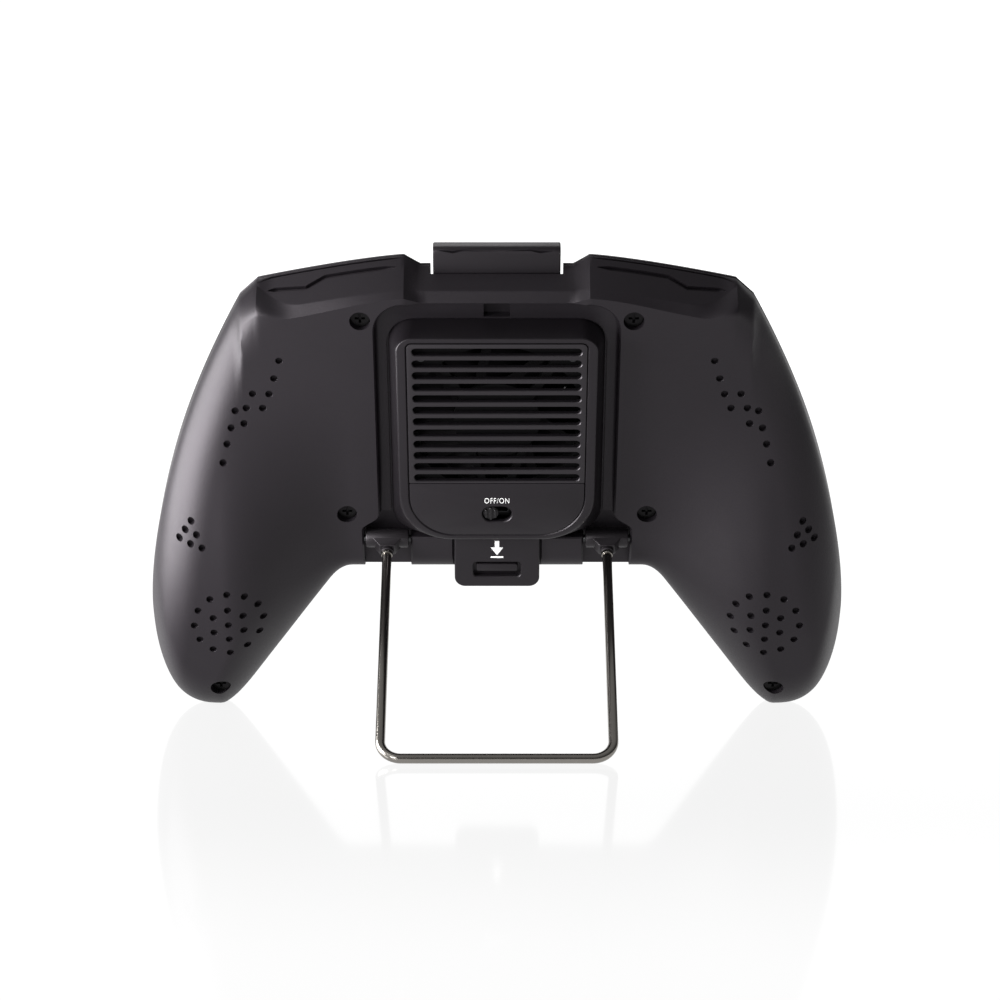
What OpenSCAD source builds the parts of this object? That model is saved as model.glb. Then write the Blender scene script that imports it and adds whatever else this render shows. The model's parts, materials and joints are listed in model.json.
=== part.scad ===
// Mobile game controller with a cooling fan, two sprung phone jaws and a fold-out wire stand.
// Sizes are millimetres. Each piece is drawn in the body's own frame: x to the right seen from behind,
// y forwards towards the phone, z up the back from the hinge line. The back panel is the plane y = 0.
// The whole body then leans back on its grips and its stand, as it stands on a table.

/* [Overall] */
// Width over both grips
body_w = 154.6; // [146:0.2:164]
// Lean of the back panel from upright while it stands
lean = 26.5; // [22:0.5:30]
// Depth from the back panel to the front face
body_depth = 11.5; // [11:0.1:14]
// How far the grips stand out behind the back panel
grip_rise = 15.5; // [12:0.5:20]
// Height of the top edge at the middle, above the hinge line
top_mid_z = 66.2; // [65:0.1:68]
// Height of the shoulders' inner ends, above the hinge line
shoulder_z = 68.4; // [67:0.1:70]
// Depth of the bottom edge below the hinge line
bottom_drop = 8.7; // [8:0.1:10]
// Depth of the grip tips below the hinge line
tip_drop = 40.8; // [36:0.2:46]
// Wall thickness of the shells
wall = 1.8; // [1.4:0.1:2.2]

/* [Fan] */
// Side of the square fan frame
fan_side = 40; // [38:0.5:40]
// Thickness of the fan frame
fan_t = 7; // [6:0.5:7]
// Height of the fan's centre above the hinge line
fan_z = 34.6; // [34:0.1:35]
// Number of fan blades
blade_count = 9; // [5:1:9]
// Number of slots in the grille
slot_count = 12; // [8:1:12]
// Pitch of the grille's slots
slot_pitch = 2.92; // [2.4:0.01:2.92]
// Height of one slot
slot_h = 1.75; // [1:0.05:1.85]

/* [Bezel] */
// Width of the raised bezel at its foot
bezel_w = 46; // [44.4:0.2:46]
// Height of the bezel's face above the back panel
bezel_rise = 4.6; // [4.2:0.1:5.4]
// Width of the face panels inside the bezel
panel_w = 38; // [36:0.2:38.4]
// Thickness of the face panels
panel_t = 1.1; // [0.9:0.1:1.6]

/* [Stand] */
// Thickness of the stand's wire
wire_d = 2.1; // [1.8:0.1:2.3]
// Distance between the stand's two legs
leg_gap = 48.8; // [48.4:0.1:49.2]
// Length of a leg from the hinge line to the middle of the cross bar
leg_len = 59.9; // [58:0.1:60.4]
// Radius of the bends at the cross bar
bend_r = 4.4; // [3.6:0.1:4.6]
// Thickness of the hinge barrels
barrel_d = 4.2; // [3.8:0.1:4.6]
// Length of the hinge barrels
barrel_len = 9.5; // [9:0.1:9.7]

/* [Jaws] */
// Width of the upper jaw
upper_jaw_w = 26.8; // [22:0.2:28]
// Travel of the upper jaw
upper_travel = 8; // [4:0.5:8]
// Width of the lower jaw and its pull tab
lower_jaw_w = 19; // [16:0.1:19.2]
// Travel of the lower jaw
lower_travel = 9; // [5:0.5:9]
// Reach of the jaws in front of the front face
jaw_reach = 10.6; // [9:0.1:14]
// Thickness of the jaws' rubber pads
pad_t = 1.4; // [1:0.1:1.8]

/* [Switch] */
// Length of the slot for the switch knob
switch_slot_w = 6.5; // [6:0.1:7]
// Height of the slot for the switch knob
switch_slot_h = 4; // [3.8:0.1:4.2]
// Width of the switch knob
knob_w = 3.4; // [3:0.1:3.4]

/* [Fits] */
// Gap round parts that sit in a pocket
fit_gap = 0.2; // [0.15:0.05:0.25]
// Radial play of turning parts
run_gap = 0.05; // [0.03:0.01:0.08]
// Gap beside the sliding jaws
slide_gap = 0.3; // [0.25:0.05:0.35]

/* [Hidden] */

// Outline of the shells, seen square on the back
half_w = body_w / 2;
ramp_x = 16.1;
shoulder_x = 19.5;
shoulder_fall = 5.5;
shoulder_bend = 1.28;
corner_in = 26.7;
side_in = 22.8;
side_fall = 9.3;
corner_x = half_w - corner_in;
side_x = half_w - side_in;
side_z = shoulder_z - side_fall;
wide_z = -15.5;
side_bend = 0.58;
bottom_z = -bottom_drop;
tip_in = 14.6;
tip_x = half_w - tip_in;
tip_z = -tip_drop;
tip_round = 4;
tip_slope = 1.3;
tip_full = 2.6;
crotch_round = 3;

// Depths of the shells. They are measured out of the back, so the front has negative depths
part_out = -body_depth + 3;
part_grip_out = -1.5;
front_out = -body_depth;
front_grip_out = front_out + 2.5;
rim_r = 3;
rim_grip_r = 12;
edge_drop = 4.3;
edge_grip_drop = 12;
edge_r = 4.5;
edge_grip_r = 15;
side_drop = 7;
side_r = 10;
rim_wall = 0.3;
rim_drop = -part_out - rim_wall;
grip_from_in = 43.3;
grip_full_in = 21.3;
bulge_from_in = 45.3;
bulge_full_in = 17.3;
front_from_in = 41.3;
grip_from = half_w - grip_from_in;
grip_full = half_w - grip_full_in;
bulge_from = half_w - bulge_from_in;
bulge_full = half_w - bulge_full_in;
front_from = half_w - front_from_in;
grip_from_z = 30;
grip_full_z = -12;
bulge_from_z = 46;
bulge_full_z = -16;

// Sloping top face of the shoulders, the bevel behind it, and the deeper pair at the middle
face_run = 4.3;
face_close = 10.4;
lip_drop = 1.5;
foot_run = 5.45;
foot_wide = 6.4;
foot_close = 2;
mid_run = 2.85;
mid_drop = 2.5;
mid_foot = 4.85;
mid_sunk = 1;

function mix(a, b, t) = a + (b - a) * t;
function unit(t) = max(0, min(1, t));
function ease(a, b, v) = let (t = unit((v - a) / (b - a))) t * t * (3 - 2 * t);
function soft_min(a, b, k) = let (h = unit(0.5 + 0.5 * (b - a) / k)) mix(b, a, h) - k * h * (1 - h);

function shoulder_line(x) = shoulder_z
    - shoulder_fall * pow((x - shoulder_x) / (corner_x - shoulder_x), shoulder_bend);
function top_line(x) = let (a = abs(x))
    a <= ramp_x ? top_mid_z :
    a <= shoulder_x ? mix(top_mid_z, shoulder_z, (a - ramp_x) / (shoulder_x - ramp_x)) :
    a <= corner_x ? shoulder_line(a) :
    a <= side_x ? mix(shoulder_z - shoulder_fall, side_z, (a - corner_x) / (side_x - corner_x)) :
    wide_z + (side_z - wide_z) * pow(1 - unit((a - side_x) / (half_w - side_x)), side_bend);
function grip_inner(a) = let (s = tip_slope * (tip_x - a))
    tip_z + sqrt(tip_round * tip_round + s * s) - tip_round;
function grip_outer(a) = let (t = unit((a - tip_x) / (half_w - tip_x)))
    wide_z + (tip_z - wide_z) * pow(1 - pow(t, tip_full), 1 / tip_full);
function bottom_line(x) = let (a = abs(x))
    a <= tip_x ? soft_min(bottom_z, grip_inner(a), crotch_round) : grip_outer(a);

slope_step = 0.05;
function near_x(x) = min(abs(x), half_w - slope_step * 1.2);
function top_slope(x) = let (a = near_x(x))
    (top_line(a + slope_step) - top_line(a - slope_step)) / (2 * slope_step);
function bottom_slope(x) = let (a = near_x(x))
    (bottom_line(a + slope_step) - bottom_line(a - slope_step)) / (2 * slope_step);
function from_top(x, z) = max(0, top_line(x) - z) / sqrt(1 + pow(top_slope(x), 2));
function from_bottom(x, z) = max(0, z - bottom_line(x)) / sqrt(1 + pow(bottom_slope(x), 2));
function round_over(d, r) = let (t = unit(1 - d / r)) sqrt(max(0, 1 - t * t));

// Share of the grip's form at a place
function grip_share(x, z) = ease(grip_from, grip_full, abs(x)) * ease(grip_from_z, grip_full_z, z);
function bulge(x, z) = grip_rise * ease(bulge_from, bulge_full, abs(x)) * ease(bulge_from_z, bulge_full_z, z);

// Distances below the top edge of the top face's rear edge and of the bevel's foot, and their depths
function raised(x) = unit((abs(x) - ramp_x) / (shoulder_x - ramp_x));
function narrowed(x) = unit((abs(x) - corner_x + face_close) / (face_close + 0.5));
function run_at(x) = mix(mid_run, face_run * (1 - pow(narrowed(x), 2.3)), raised(x));
function edge_at(x) = mix(mid_drop, mix(rim_drop, lip_drop, run_at(x) / face_run), raised(x));
function foot_at(x) = mix(mid_foot,
    mix(foot_run, foot_wide, ease(shoulder_x + 2.5, corner_x - 8.6, abs(x)))
        - foot_close * ease(corner_x - 8, corner_x + 1, abs(x)),
    raised(x));
function sunk_at(x) = mix(mid_sunk, 0, raised(x));
function bevel_share(x, t) = mix(t, sin(90 * t), ease(corner_x - 9.6, corner_x - 0.6, abs(x)));
function top_face(x, z) = let (d = top_line(x) - z, r = run_at(x), f = foot_at(x))
    d < r ? mix(rim_drop, edge_at(x), d / r) :
    d < f ? mix(edge_at(x), sunk_at(x), bevel_share(x, (d - r) / (f - r))) :
    sunk_at(x) * (1 - ease(1, 6, d - f));

// Back surface at a place
function side_share(x) = ease(corner_x - 3.6, corner_x + 5.4, abs(x));
function back_out(x, z) = let (g = grip_share(x, z), w = side_share(x),
        low = round_over(from_bottom(x, z), mix(edge_r, edge_grip_r, g)),
        side = round_over(from_top(x, z), mix(side_r, edge_grip_r, g)))
    bulge(x, z) - (1 - w) * top_face(x, z)
    - mix(mix(edge_drop, side_drop, w), edge_grip_drop, g) * (1 - mix(1, side, w) * low);

// Parting line and front surface
function front_share(x, z) = ease(front_from, bulge_full, abs(x)) * ease(30, -10, z);
function parting(x, z) = mix(part_out, part_grip_out, front_share(x, z));
function front_out_at(x, z) = let (g = front_share(x, z), f = mix(front_out, front_grip_out, g),
    r = mix(rim_r, rim_grip_r, g))
    f + (parting(x, z) - f) * (1 - round_over(from_top(x, z), r) * round_over(from_bottom(x, z), r));

// Inner faces of the hollow, set in from the outer ones
function hollow_top(x) = top_line(x) - wall * sqrt(1 + pow(top_slope(x), 2));
function hollow_bottom(x) = bottom_line(x) + wall * sqrt(1 + pow(bottom_slope(x), 2));
hollow_min = 0.6;
front_wall = 1.6;
floor_out = front_out + front_wall;
function hollow_back(x, z) = max(parting(x, z) + hollow_min,
    min(back_out(x, z), back_out(x, z + wall * 0.7), back_out(x, z - wall * 0.7)) - wall);
function hollow_front(x, z) = min(parting(x, z) - hollow_min,
    max(front_out_at(x, z), front_out_at(x, z + wall * 0.7), front_out_at(x, z - wall * 0.7)) + front_wall);

// Stations across the body, closer together towards the grips' outer sides
shoulder_steps = 8;
side_steps = 11;
half_stations = concat([0, 13, ramp_x],
    [for (i = [0:shoulder_steps]) mix(shoulder_x, corner_x, i / shoulder_steps)],
    [mix(corner_x, side_x, 0.5)],
    [for (i = [0:side_steps]) mix(half_w - 0.02, side_x, pow(1 - i / side_steps, 2))]);
last = len(half_stations) - 1;
stations = concat([for (i = [last:-1:1]) -half_stations[i]], half_stations);
hollow_half = concat([0],
    [for (i = [0:6]) mix(ramp_x, side_x - 6.5, i / 6)],
    [for (i = [0:6]) mix(half_w - wall - 0.6, side_x - 1.5, pow(1 - i / 6, 1.6))]);
hollow_last = len(hollow_half) - 1;
hollow_stations = concat([for (i = [hollow_last:-1:1]) -hollow_half[i]], hollow_half);

// Rows up the back, closer together at the bottom edge and along the creases of the top face
low_rows = 18;
least_run = 0.2;
function crease_depths(x) = let (r = max(run_at(x), least_run), f = foot_at(x))
    [f + 1.2, f, (r + f) / 2, r, r / 2, 0];
function row_heights(x) = let (a = bottom_line(x), b = top_line(x), d = crease_depths(x),
        k = min(1, 0.4 * (b - a) / d[0]))
    concat([for (i = [0:low_rows - 1]) mix(a, b - k * d[0], 1 - cos(90 * i / low_rows))],
        [for (v = d) b - k * v]);

// Rows up the front, closer together at both edges
rows = 24;
row_share = [for (k = [0:rows - 1]) (1 - cos(180 * k / (rows - 1))) / 2];
hollow_rows = 13;
hollow_share = [for (k = [0:hollow_rows - 1]) (1 - cos(180 * k / (hollow_rows - 1))) / 2];

function back_loop(x) = let (a = bottom_line(x), b = top_line(x)) concat(
    [for (z = row_heights(x)) [x, -back_out(x, z), z]],
    [[x, -parting(x, b), b], [x, -parting(x, a), a]]);
function front_loop(x) = let (a = bottom_line(x), b = top_line(x))
    [for (s = row_share) let (z = mix(a, b, s)) [x, -front_out_at(x, z), z]];
function hollow_loop(x) = let (a = hollow_bottom(x), b = hollow_top(x), n = hollow_rows) concat(
    [for (s = hollow_share) let (z = mix(a, b, s)) [x, -hollow_back(x, z), z]],
    [for (s = hollow_share) let (z = mix(b, a, s)) [x, -hollow_front(x, z), z]]);

// A solid skinned over a row of closed loops that all have the same number of points
module skin(loops, turn = false) {
    n = len(loops[0]);
    m = len(loops);
    sides = [for (i = [0:m - 2], k = [0:n - 1]) let (a = i * n + k, b = i * n + (k + 1) % n)
        each [[a, b, b + n], [a, b + n, a + n]]];
    caps = [[for (k = [n - 1:-1:0]) k], [for (k = [0:n - 1]) (m - 1) * n + k]];
    all_faces = concat(sides, caps);
    polyhedron(points = [for (l = loops) each l],
        faces = turn ? [for (f = all_faces) [for (k = [len(f) - 1:-1:0]) f[k]]] : all_faces, convexity = 10);
}

module rear_solid() {
    skin([for (x = stations) back_loop(x)]);
}

module front_solid() {
    skin([for (x = stations) front_loop(x)], true);
}

module hollow_solid() {
    skin([for (x = hollow_stations) hollow_loop(x)]);
}

// Places and sizes that several pieces share
recess_out = -2.4;
floor_t = 1.3;
far = 30;
hinge_out = -1.2;
leg_x = leg_gap / 2;
groove_w = wire_d + 2 * slide_gap + 0.3;
recess_half = leg_x + groove_w / 2;
recess_top = leg_len + wire_d / 2 + slide_gap;
recess_low = 1;
bezel_low = recess_low + fit_gap;
finger_gap = 2.3;
bezel_top = leg_len - wire_d / 2 - finger_gap;
face_low = 5.66;
face_top = bezel_top - 1.95;
face_split = 19;
split_gap = 0.12;
recess_corner = bend_r + 2;
bezel_corner = bend_r + 1.1;
bezel_draft = 1.4;
edge_round = 0.5;
nail_half = 2.8;
nail_low = bezel_top + 0.6;
nail_out = recess_out - 1.8;
panel_half = panel_w / 2;
face_corner = 10;
panel_in = bezel_rise - panel_t;
fan_out = panel_in - fit_gap;
fan_in = fan_out - fan_t;
fan_half = fan_side / 2;
fan_bore = fan_side - 2.6;
fan_hole = fan_side / 2 - 4;
fan_hole_d = 2.4;
fan_screw_d = 2;
rotor_r = fan_bore / 2 - 0.6;
hub_r = 8;
plate_r = 9.3;
rib_in = plate_r - 0.8;
rib_w = 1.6;
blade_turn = 24;
blade_t = 0.9;
blade_chord = 13;
base_t = 1.6;
shaft_d = 2;
pocket_half = barrel_len / 2 + 0.45;
pocket_top = 3.1;
groove_from = 6.8;
pocket_in = hinge_out - barrel_d / 2 - 0.5;
pin_d = 1.6;
ferrule_d = wire_d + 1.2;
skirt_half = 3.4;
skirt_t = 3.2;
pin_len = 2 * pocket_half + 2.4;
tab_out = 0.9;
tab_t = 2.2;
tab_in = tab_out - tab_t;
tab_low = bottom_z - 3.4;
tab_top = 4.6;
grip_up = 4.9;
tab_half = lower_jaw_w / 2;
bridge_top = bottom_z - 0.5;
bridge_in = 0.8;
jaw_out = -6.6;
jaw_in = jaw_out - 3;
neck_half = upper_jaw_w / 2;
notch_half = neck_half + 2 * slide_gap;
jaw_rise = 4.9;
crest_z = top_mid_z + jaw_rise;
notch_low = top_mid_z - 4.2;
mouth = wall + 2.4;
arm_in = 19.5;
arm_out = 23.5;
yoke_h = 4.5;
yoke_top = notch_low - upper_travel;
yoke_low = yoke_top - yoke_h;
upper_arm_end = fan_z + 0.4;
lower_yoke_low = bottom_z + lower_travel + 5.7;
lower_yoke_top = lower_yoke_low + yoke_h;
lower_arm_end = fan_z - 3.6;
guide_low = lower_yoke_top + 2.5;
guide_top = yoke_low - 0.5;
guide_t = 1.4;
claw_far = front_out - jaw_reach;
claw_rise = 4.6;
bed_out = front_out - 0.8;
bore_front = 36;
outlet_pitch = 3.2;
outlet_h = 1;
outlet_slots = floor((bore_front / 2 - 1) / outlet_pitch);
knob_x = -(switch_slot_w - knob_w) / 2 + fit_gap;
knob_travel = -2 * knob_x;
switch_z = 10.7;
screw_boss_d = 6.4;
screw_d = 2.2;
head_d = 4;
head_t = 1.4;
head_sink = 2.6;
sink_d = head_d + 0.4;
screw_fall = 10.95;
cross_len = 2.2;
cross_w = 0.55;
top_screw = [recess_half + 2.9, shoulder_z - screw_fall];
mid_screw = [leg_x + pocket_half + 3.5, 7.5];
tip_screw = [half_w - 15.2, -30];
cell_w = 18;
cell_h = 29;
cell_t = 5.5;
cell_in = 35.3;
cell_x = half_w - cell_in;
cell_r = 2;
cell_fall = 27.4;
cell_z = shoulder_z - cell_fall;
bed_in = 43.3;
bed_fall = 4.6;
bed_x = half_w - bed_in;
bed_z = fan_z - bed_fall;
bed_w = 12;
bed_h = 40;
bed_r = 3;
board_out = -4.8;
board_t = 1.2;
board_half = 17;
post_x = board_half - 3;
socket_x = -14.1;
socket_w = 7.4;
socket_h = 2.4;
socket_set = 0.3;
socket_deep = 4.3;
socket_wall = 0.4;
board_top = 13;
board_hole_z = 4.5;
board_hole_d = 2;
switch_body_w = 8.6;
switch_body_h = 4;

function screw_places() = [for (s = [-1, 1], p = [top_screw, mid_screw, tip_screw]) [s * p[0], p[1]]];
function head_out(p) = min([for (d = [-2, 0, 2]) back_out(p[0], p[1] + d)]) - head_sink;

// Vent dimples on one grip, each as its distance in from the side and its height
dot_d = 1.7;
dot_depth = 1;
ring_step = 3.75;
upper_dots = [[31.1, 47.6], [29.8, 43.2], [28.6, 39.4], [25.1, 39.5], [27.1, 36.1], [23.6, 36.2],
    [21.2, 35.6], [23, 32.7], [20.2, 31.8], [19.2, 28.3], [18.2, 24.3]];
side_dots = [for (i = [0:2], k = [0:i]) [10.8 - 1.37 * i + 2.5 * k, 11.7 - 2.05 * i - 0.68 * k]];
palm_dot = [18.1, -11.8];
palm_dots = concat([palm_dot],
    [for (i = [0:5]) palm_dot + ring_step * [sin(60 * i), cos(60 * i)]],
    [for (i = [0:11]) palm_dot + 2 * ring_step * [sin(30 * i), cos(30 * i)]]);
function dot_places() = [for (p = concat(upper_dots, side_dots, palm_dots)) [half_w - p[0], p[1]]];

// Drop of the whole body so that the grips' lowest points touch the floor
stand_points = [for (x = stations) if (abs(x) > tip_x - 12) each back_loop(x)];
floor_drop = -min([for (p = stand_points) p[1] * sin(lean) + p[2] * cos(lean)]);
hinge_height = floor_drop - hinge_out * sin(lean);
leg_slope = asin((hinge_height - wire_d / 2) / leg_len);
stand_turn = -(90 - leg_slope + lean);
fold_angle = 180 + stand_turn;
// Shift that brings the middle of the standing object over the origin
lower_seat = bottom_z + 1.7;
bar_y = -hinge_out * cos(lean) - leg_len * cos(leg_slope) - wire_d / 2;
claw_y = -claw_far * cos(lean) - (lower_seat + 3) * sin(lean);
front_y = max(concat([claw_y],
    [for (x = stations) each [for (p = front_loop(x)) p[1] * cos(lean) - p[2] * sin(lean)]]));
middle_y = -(bar_y + front_y) / 2;

echo(fold_angle = fold_angle, hinge_height = hinge_height, floor_drop = floor_drop, leg_slope = leg_slope);
echo(middle_y = middle_y, knob_travel = knob_travel);

// Moves a piece from the body's own frame to where it stands
module place() {
    translate([0, middle_y, floor_drop])
        rotate([lean, 0, 0])
            children();
}

// A prism on an outline in x and z, between two depths
module slab(from, to) {
    translate([0, -min(from, to), 0])
        rotate([90, 0, 0])
            linear_extrude(height = abs(to - from))
                children();
}

// A round bar along the depth, at a place in x and z
module bar(p, d, from, to) {
    translate([p[0], -min(from, to), p[1]])
        rotate([90, 0, 0])
            cylinder(d = d, h = abs(to - from), $fn = 40);
}

// A prism on an outline given as depth and height, centred across the body
module profile(w) {
    translate([-w / 2, 0, 0])
        rotate([90, 0, 90])
            linear_extrude(height = w)
                children();
}

module box_area(x0, x1, z0, z1) {
    translate([x0, z0])
        square([x1 - x0, z1 - z0]);
}

// A rectangle with its own corner radius at the top and at the bottom
module round_area(half, z0, z1, r_top, r_low) {
    union() {
        box_area(-half + max(r_top, r_low), half - max(r_top, r_low), z0, z1);
        box_area(-half, half, z0 + r_low, z1 - r_top);
        box_area(-half + r_top, half - r_top, z0 + r_low, z1);
        box_area(-half + r_low, half - r_low, z0, z1 - r_top);
        for (s = [-1, 1]) {
            translate([s * (half - r_top), z1 - r_top])
                circle(r = r_top, $fn = 48);
            translate([s * (half - r_low), z0 + r_low])
                circle(r = r_low, $fn = 48);
        }
    }
}

module hinge_area() {
    for (s = [-1, 1])
        scale([s, 1])
            polygon([[leg_x - pocket_half, bottom_z - 2], [leg_x + pocket_half, bottom_z - 2],
                [leg_x + pocket_half, pocket_top], [leg_x + groove_w / 2, groove_from],
                [leg_x - groove_w / 2, groove_from], [leg_x - pocket_half, pocket_top]]);
}

module rear_blocks() {
    slab(3, recess_out - floor_t)
        box_area(-recess_half - wall, recess_half + wall, recess_low - wall, recess_top + wall);
    slab(3, nail_out - 1)
        box_area(-nail_half - wall, nail_half + wall, nail_low - 1, recess_top + wall);
    for (s = [-1, 1])
        slab(3, pocket_in - floor_t)
            box_area(s * leg_x - pocket_half - wall, s * leg_x + pocket_half + wall, bottom_z, 10);
    slab(3, tab_in - slide_gap - floor_t)
        box_area(-tab_half - slide_gap - wall, tab_half + slide_gap + wall, bottom_z, tab_top + 3);
    for (p = screw_places())
        bar(p, screw_boss_d, far, parting(p[0], p[1]));
    for (s = [-1, 1], z = [-1.5, 10.5])
        bar([s * post_x, z], 3.6, 0, board_out);
}

module rear_shell() {
    color("#37353a")
        place()
            difference() {
                rear_solid();
                difference() {
                    hollow_solid();
                    rear_blocks();
                }
                // seat of the bezel with the stand's groove round it
                slab(8, recess_out)
                    round_area(recess_half, recess_low, recess_top, recess_corner, 1);
                // nail notch under the folded stand's cross bar
                slab(8, nail_out)
                    box_area(-nail_half, nail_half, nail_low, recess_top);
                slab(8, pocket_in)
                    hinge_area();
                for (s = [-1, 1])
                    translate([s * leg_x - pin_len / 2, -hinge_out, 0])
                        rotate([0, 90, 0])
                            cylinder(d = pin_d + 2 * run_gap, h = pin_len, $fn = 32);
                slab(8, -12)
                    box_area(-fan_half - fit_gap, fan_half + fit_gap, fan_z - fan_half - fit_gap,
                        fan_z + fan_half + fit_gap);
                slab(8, -12)
                    box_area(-6, 6, 7.5, 13.5);
                slab(8, tab_in - slide_gap)
                    box_area(-tab_half - slide_gap, tab_half + slide_gap, bottom_z - 4, tab_top + fit_gap);
                // notches that the jaws slide in
                slab(jaw_out + slide_gap, -far)
                    box_area(-notch_half, notch_half, notch_low, shoulder_z + 4);
                slab(jaw_out + slide_gap, -far)
                    box_area(-tab_half - slide_gap, tab_half + slide_gap, bottom_z - 4, bottom_z + mouth);
                slab(board_out - board_t + fit_gap, -far)
                    box_area(socket_x - socket_w / 2 - fit_gap, socket_x + socket_w / 2 + fit_gap,
                        bottom_z - 4, bottom_z + mouth);
                for (p = screw_places()) {
                    bar(p, sink_d, far, head_out(p));
                    bar(p, screw_d + 0.4, far, -far);
                }
                for (s = [-1, 1], p = dot_places())
                    bar([s * p[0], p[1]], dot_d, far, back_out(p[0], p[1]) - dot_depth);
            }
}

module front_blocks() {
    for (p = screw_places())
        bar(p, screw_boss_d, parting(p[0], p[1]), -far);
}

module front_shell() {
    color("#302e33")
        place()
            difference() {
                front_solid();
                difference() {
                    hollow_solid();
                    front_blocks();
                }
                slab(4, -far)
                    box_area(-notch_half, notch_half, notch_low, shoulder_z + 4);
                slab(4, floor_out)
                    box_area(-tab_half - slide_gap, tab_half + slide_gap, bottom_z - 4, bottom_z + mouth);
                // air outlet behind the phone: narrow slots within a circle
                slab(-4, -far)
                    for (k = [-outlet_slots:outlet_slots])
                        let (z = k * outlet_pitch, half = sqrt(pow(bore_front / 2, 2) - z * z))
                            box_area(-half, half, fan_z + z - outlet_h / 2, fan_z + z + outlet_h / 2);
                for (p = screw_places())
                    bar(p, screw_d - 0.2, far, front_out_at(p[0], p[1]) + 1);
            }
}

// One layer of the bezel's rounded body
module bezel_layer(out, inset) {
    low = bezel_low + inset * 1.83;
    slab(out, out - 0.02)
        round_area(bezel_w / 2 - inset, low, bezel_top - inset * 0.42, bezel_corner - 1.5 * inset,
            face_corner + 2 - 0.5 * inset);
}

module bezel_body() {
    hull() {
        bezel_layer(recess_out + 0.02, 0);
        bezel_layer(bezel_rise - edge_round, bezel_draft);
        bezel_layer(bezel_rise - edge_round * 0.3, bezel_draft + edge_round * 0.3);
        bezel_layer(bezel_rise, bezel_draft + edge_round);
    }
}

module fan_bezel() {
    color("#2d2b30")
        place()
            difference() {
                bezel_body();
                slab(panel_in, 8)
                    round_area(panel_half + split_gap, face_low - split_gap, face_top + split_gap, 1.2,
                        face_corner);
                slab(panel_in + 0.01, -8)
                    box_area(-fan_half - fit_gap, fan_half + fit_gap, fan_z - fan_half - fit_gap,
                        fan_z + fan_half + fit_gap);
                slab(panel_in + 0.01, -8)
                    box_area(-6, 6, 7.5, 13.5);
                slab(tab_out + slide_gap, -8)
                    box_area(-tab_half - slide_gap, tab_half + slide_gap, 0, tab_top + fit_gap);
            }
}

module fan_grille() {
    first = (face_split + face_top) / 2 - 0.25 - slot_pitch * (slot_count - 1) / 2;
    slot_half = panel_half - 1.1;
    color("#2a282d")
        place()
            difference() {
                slab(panel_in, bezel_rise)
                    round_area(panel_half, face_split + split_gap / 2, face_top, 1.1, 0.1);
                slab(panel_in - 1, bezel_rise + 1)
                    for (k = [0:slot_count - 1]) {
                        box_area(-slot_half + slot_h / 2, slot_half - slot_h / 2,
                            first + slot_pitch * k - slot_h / 2, first + slot_pitch * k + slot_h / 2);
                        for (s = [-1, 1])
                            translate([s * (slot_half - slot_h / 2), first + slot_pitch * k])
                                circle(d = slot_h, $fn = 24);
                    }
            }
}

module switch_panel() {
    color("#2d2b30")
        place()
            difference() {
                slab(panel_in, bezel_rise)
                    intersection() {
                        round_area(panel_half, face_low, face_top, 1.1, face_corner);
                        box_area(-panel_half, panel_half, 0, face_split - split_gap / 2);
                    }
                slab(panel_in - 1, bezel_rise + 1)
                    translate([0, switch_z])
                        round_slot(switch_slot_w, switch_slot_h, switch_slot_h / 2 - 0.05);
            }
}

module round_slot(w, h, r) {
    union() {
        square([w - 2 * r, h], center = true);
        square([w, h - 2 * r], center = true);
        for (a = [-1, 1], b = [-1, 1])
            translate([a * (w / 2 - r), b * (h / 2 - r)])
                circle(r = r, $fn = 24);
    }
}

module fan_frame() {
    color("#1b1a1d")
        place()
            union() {
                difference() {
                    slab(fan_in, fan_out)
                        round_area(fan_half, fan_z - fan_half, fan_z + fan_half, 2.5, 2.5);
                    bar([0, fan_z], fan_bore, fan_in - 1, fan_out + 1);
                    for (a = [-1, 1], b = [-1, 1])
                        bar([a * fan_hole, fan_z + b * fan_hole], fan_hole_d, fan_in - 1, fan_out + 1);
                }
                difference() {
                    union() {
                        bar([0, fan_z], 2 * plate_r, fan_out - base_t, fan_out);
                        slab(fan_out - base_t, fan_out)
                            intersection() {
                                for (s = [-1, 1]) {
                                    rib([s * rib_in * sin(52), rib_in * cos(52)], s * 31.5);
                                    rib([s * rib_in * sin(132), rib_in * cos(132)], s * 198.5);
                                }
                                translate([0, fan_z])
                                    circle(d = fan_bore + 1, $fn = 64);
                            }
                    }
                    bar([0, fan_z], shaft_d + 2 * run_gap, fan_in, fan_out - 0.4);
                }
            }
}

// One straight rib of the fan frame, from a point beside the fan's axis and out at an angle from upright
module rib(from, turn) {
    translate([from[0], fan_z + from[1]])
        rotate(-turn)
            translate([-rib_w / 2, 0])
                square([rib_w, fan_bore / 2]);
}

module fan_rotor() {
    hub_out = fan_out - base_t - 0.4;
    hub_in = fan_in + 0.4;
    color("#222125")
        place()
            union() {
                bar([0, fan_z], 2 * hub_r, hub_in, hub_out);
                bar([0, fan_z], shaft_d, hub_in + 1, fan_out - 0.7);
                intersection() {
                    for (k = [0:blade_count - 1])
                        translate([0, -(hub_in + hub_out) / 2, fan_z])
                            rotate([0, k * 360 / blade_count, 0])
                                translate([hub_r - 0.6, 0, 0])
                                    rotate([blade_turn, 0, 0])
                                        translate([0, -blade_t / 2, -blade_chord / 2])
                                            cube([rotor_r - hub_r + 1.2, blade_t, blade_chord]);
                    bar([0, fan_z], 2 * rotor_r, hub_in, hub_out);
                }
            }
}

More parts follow.
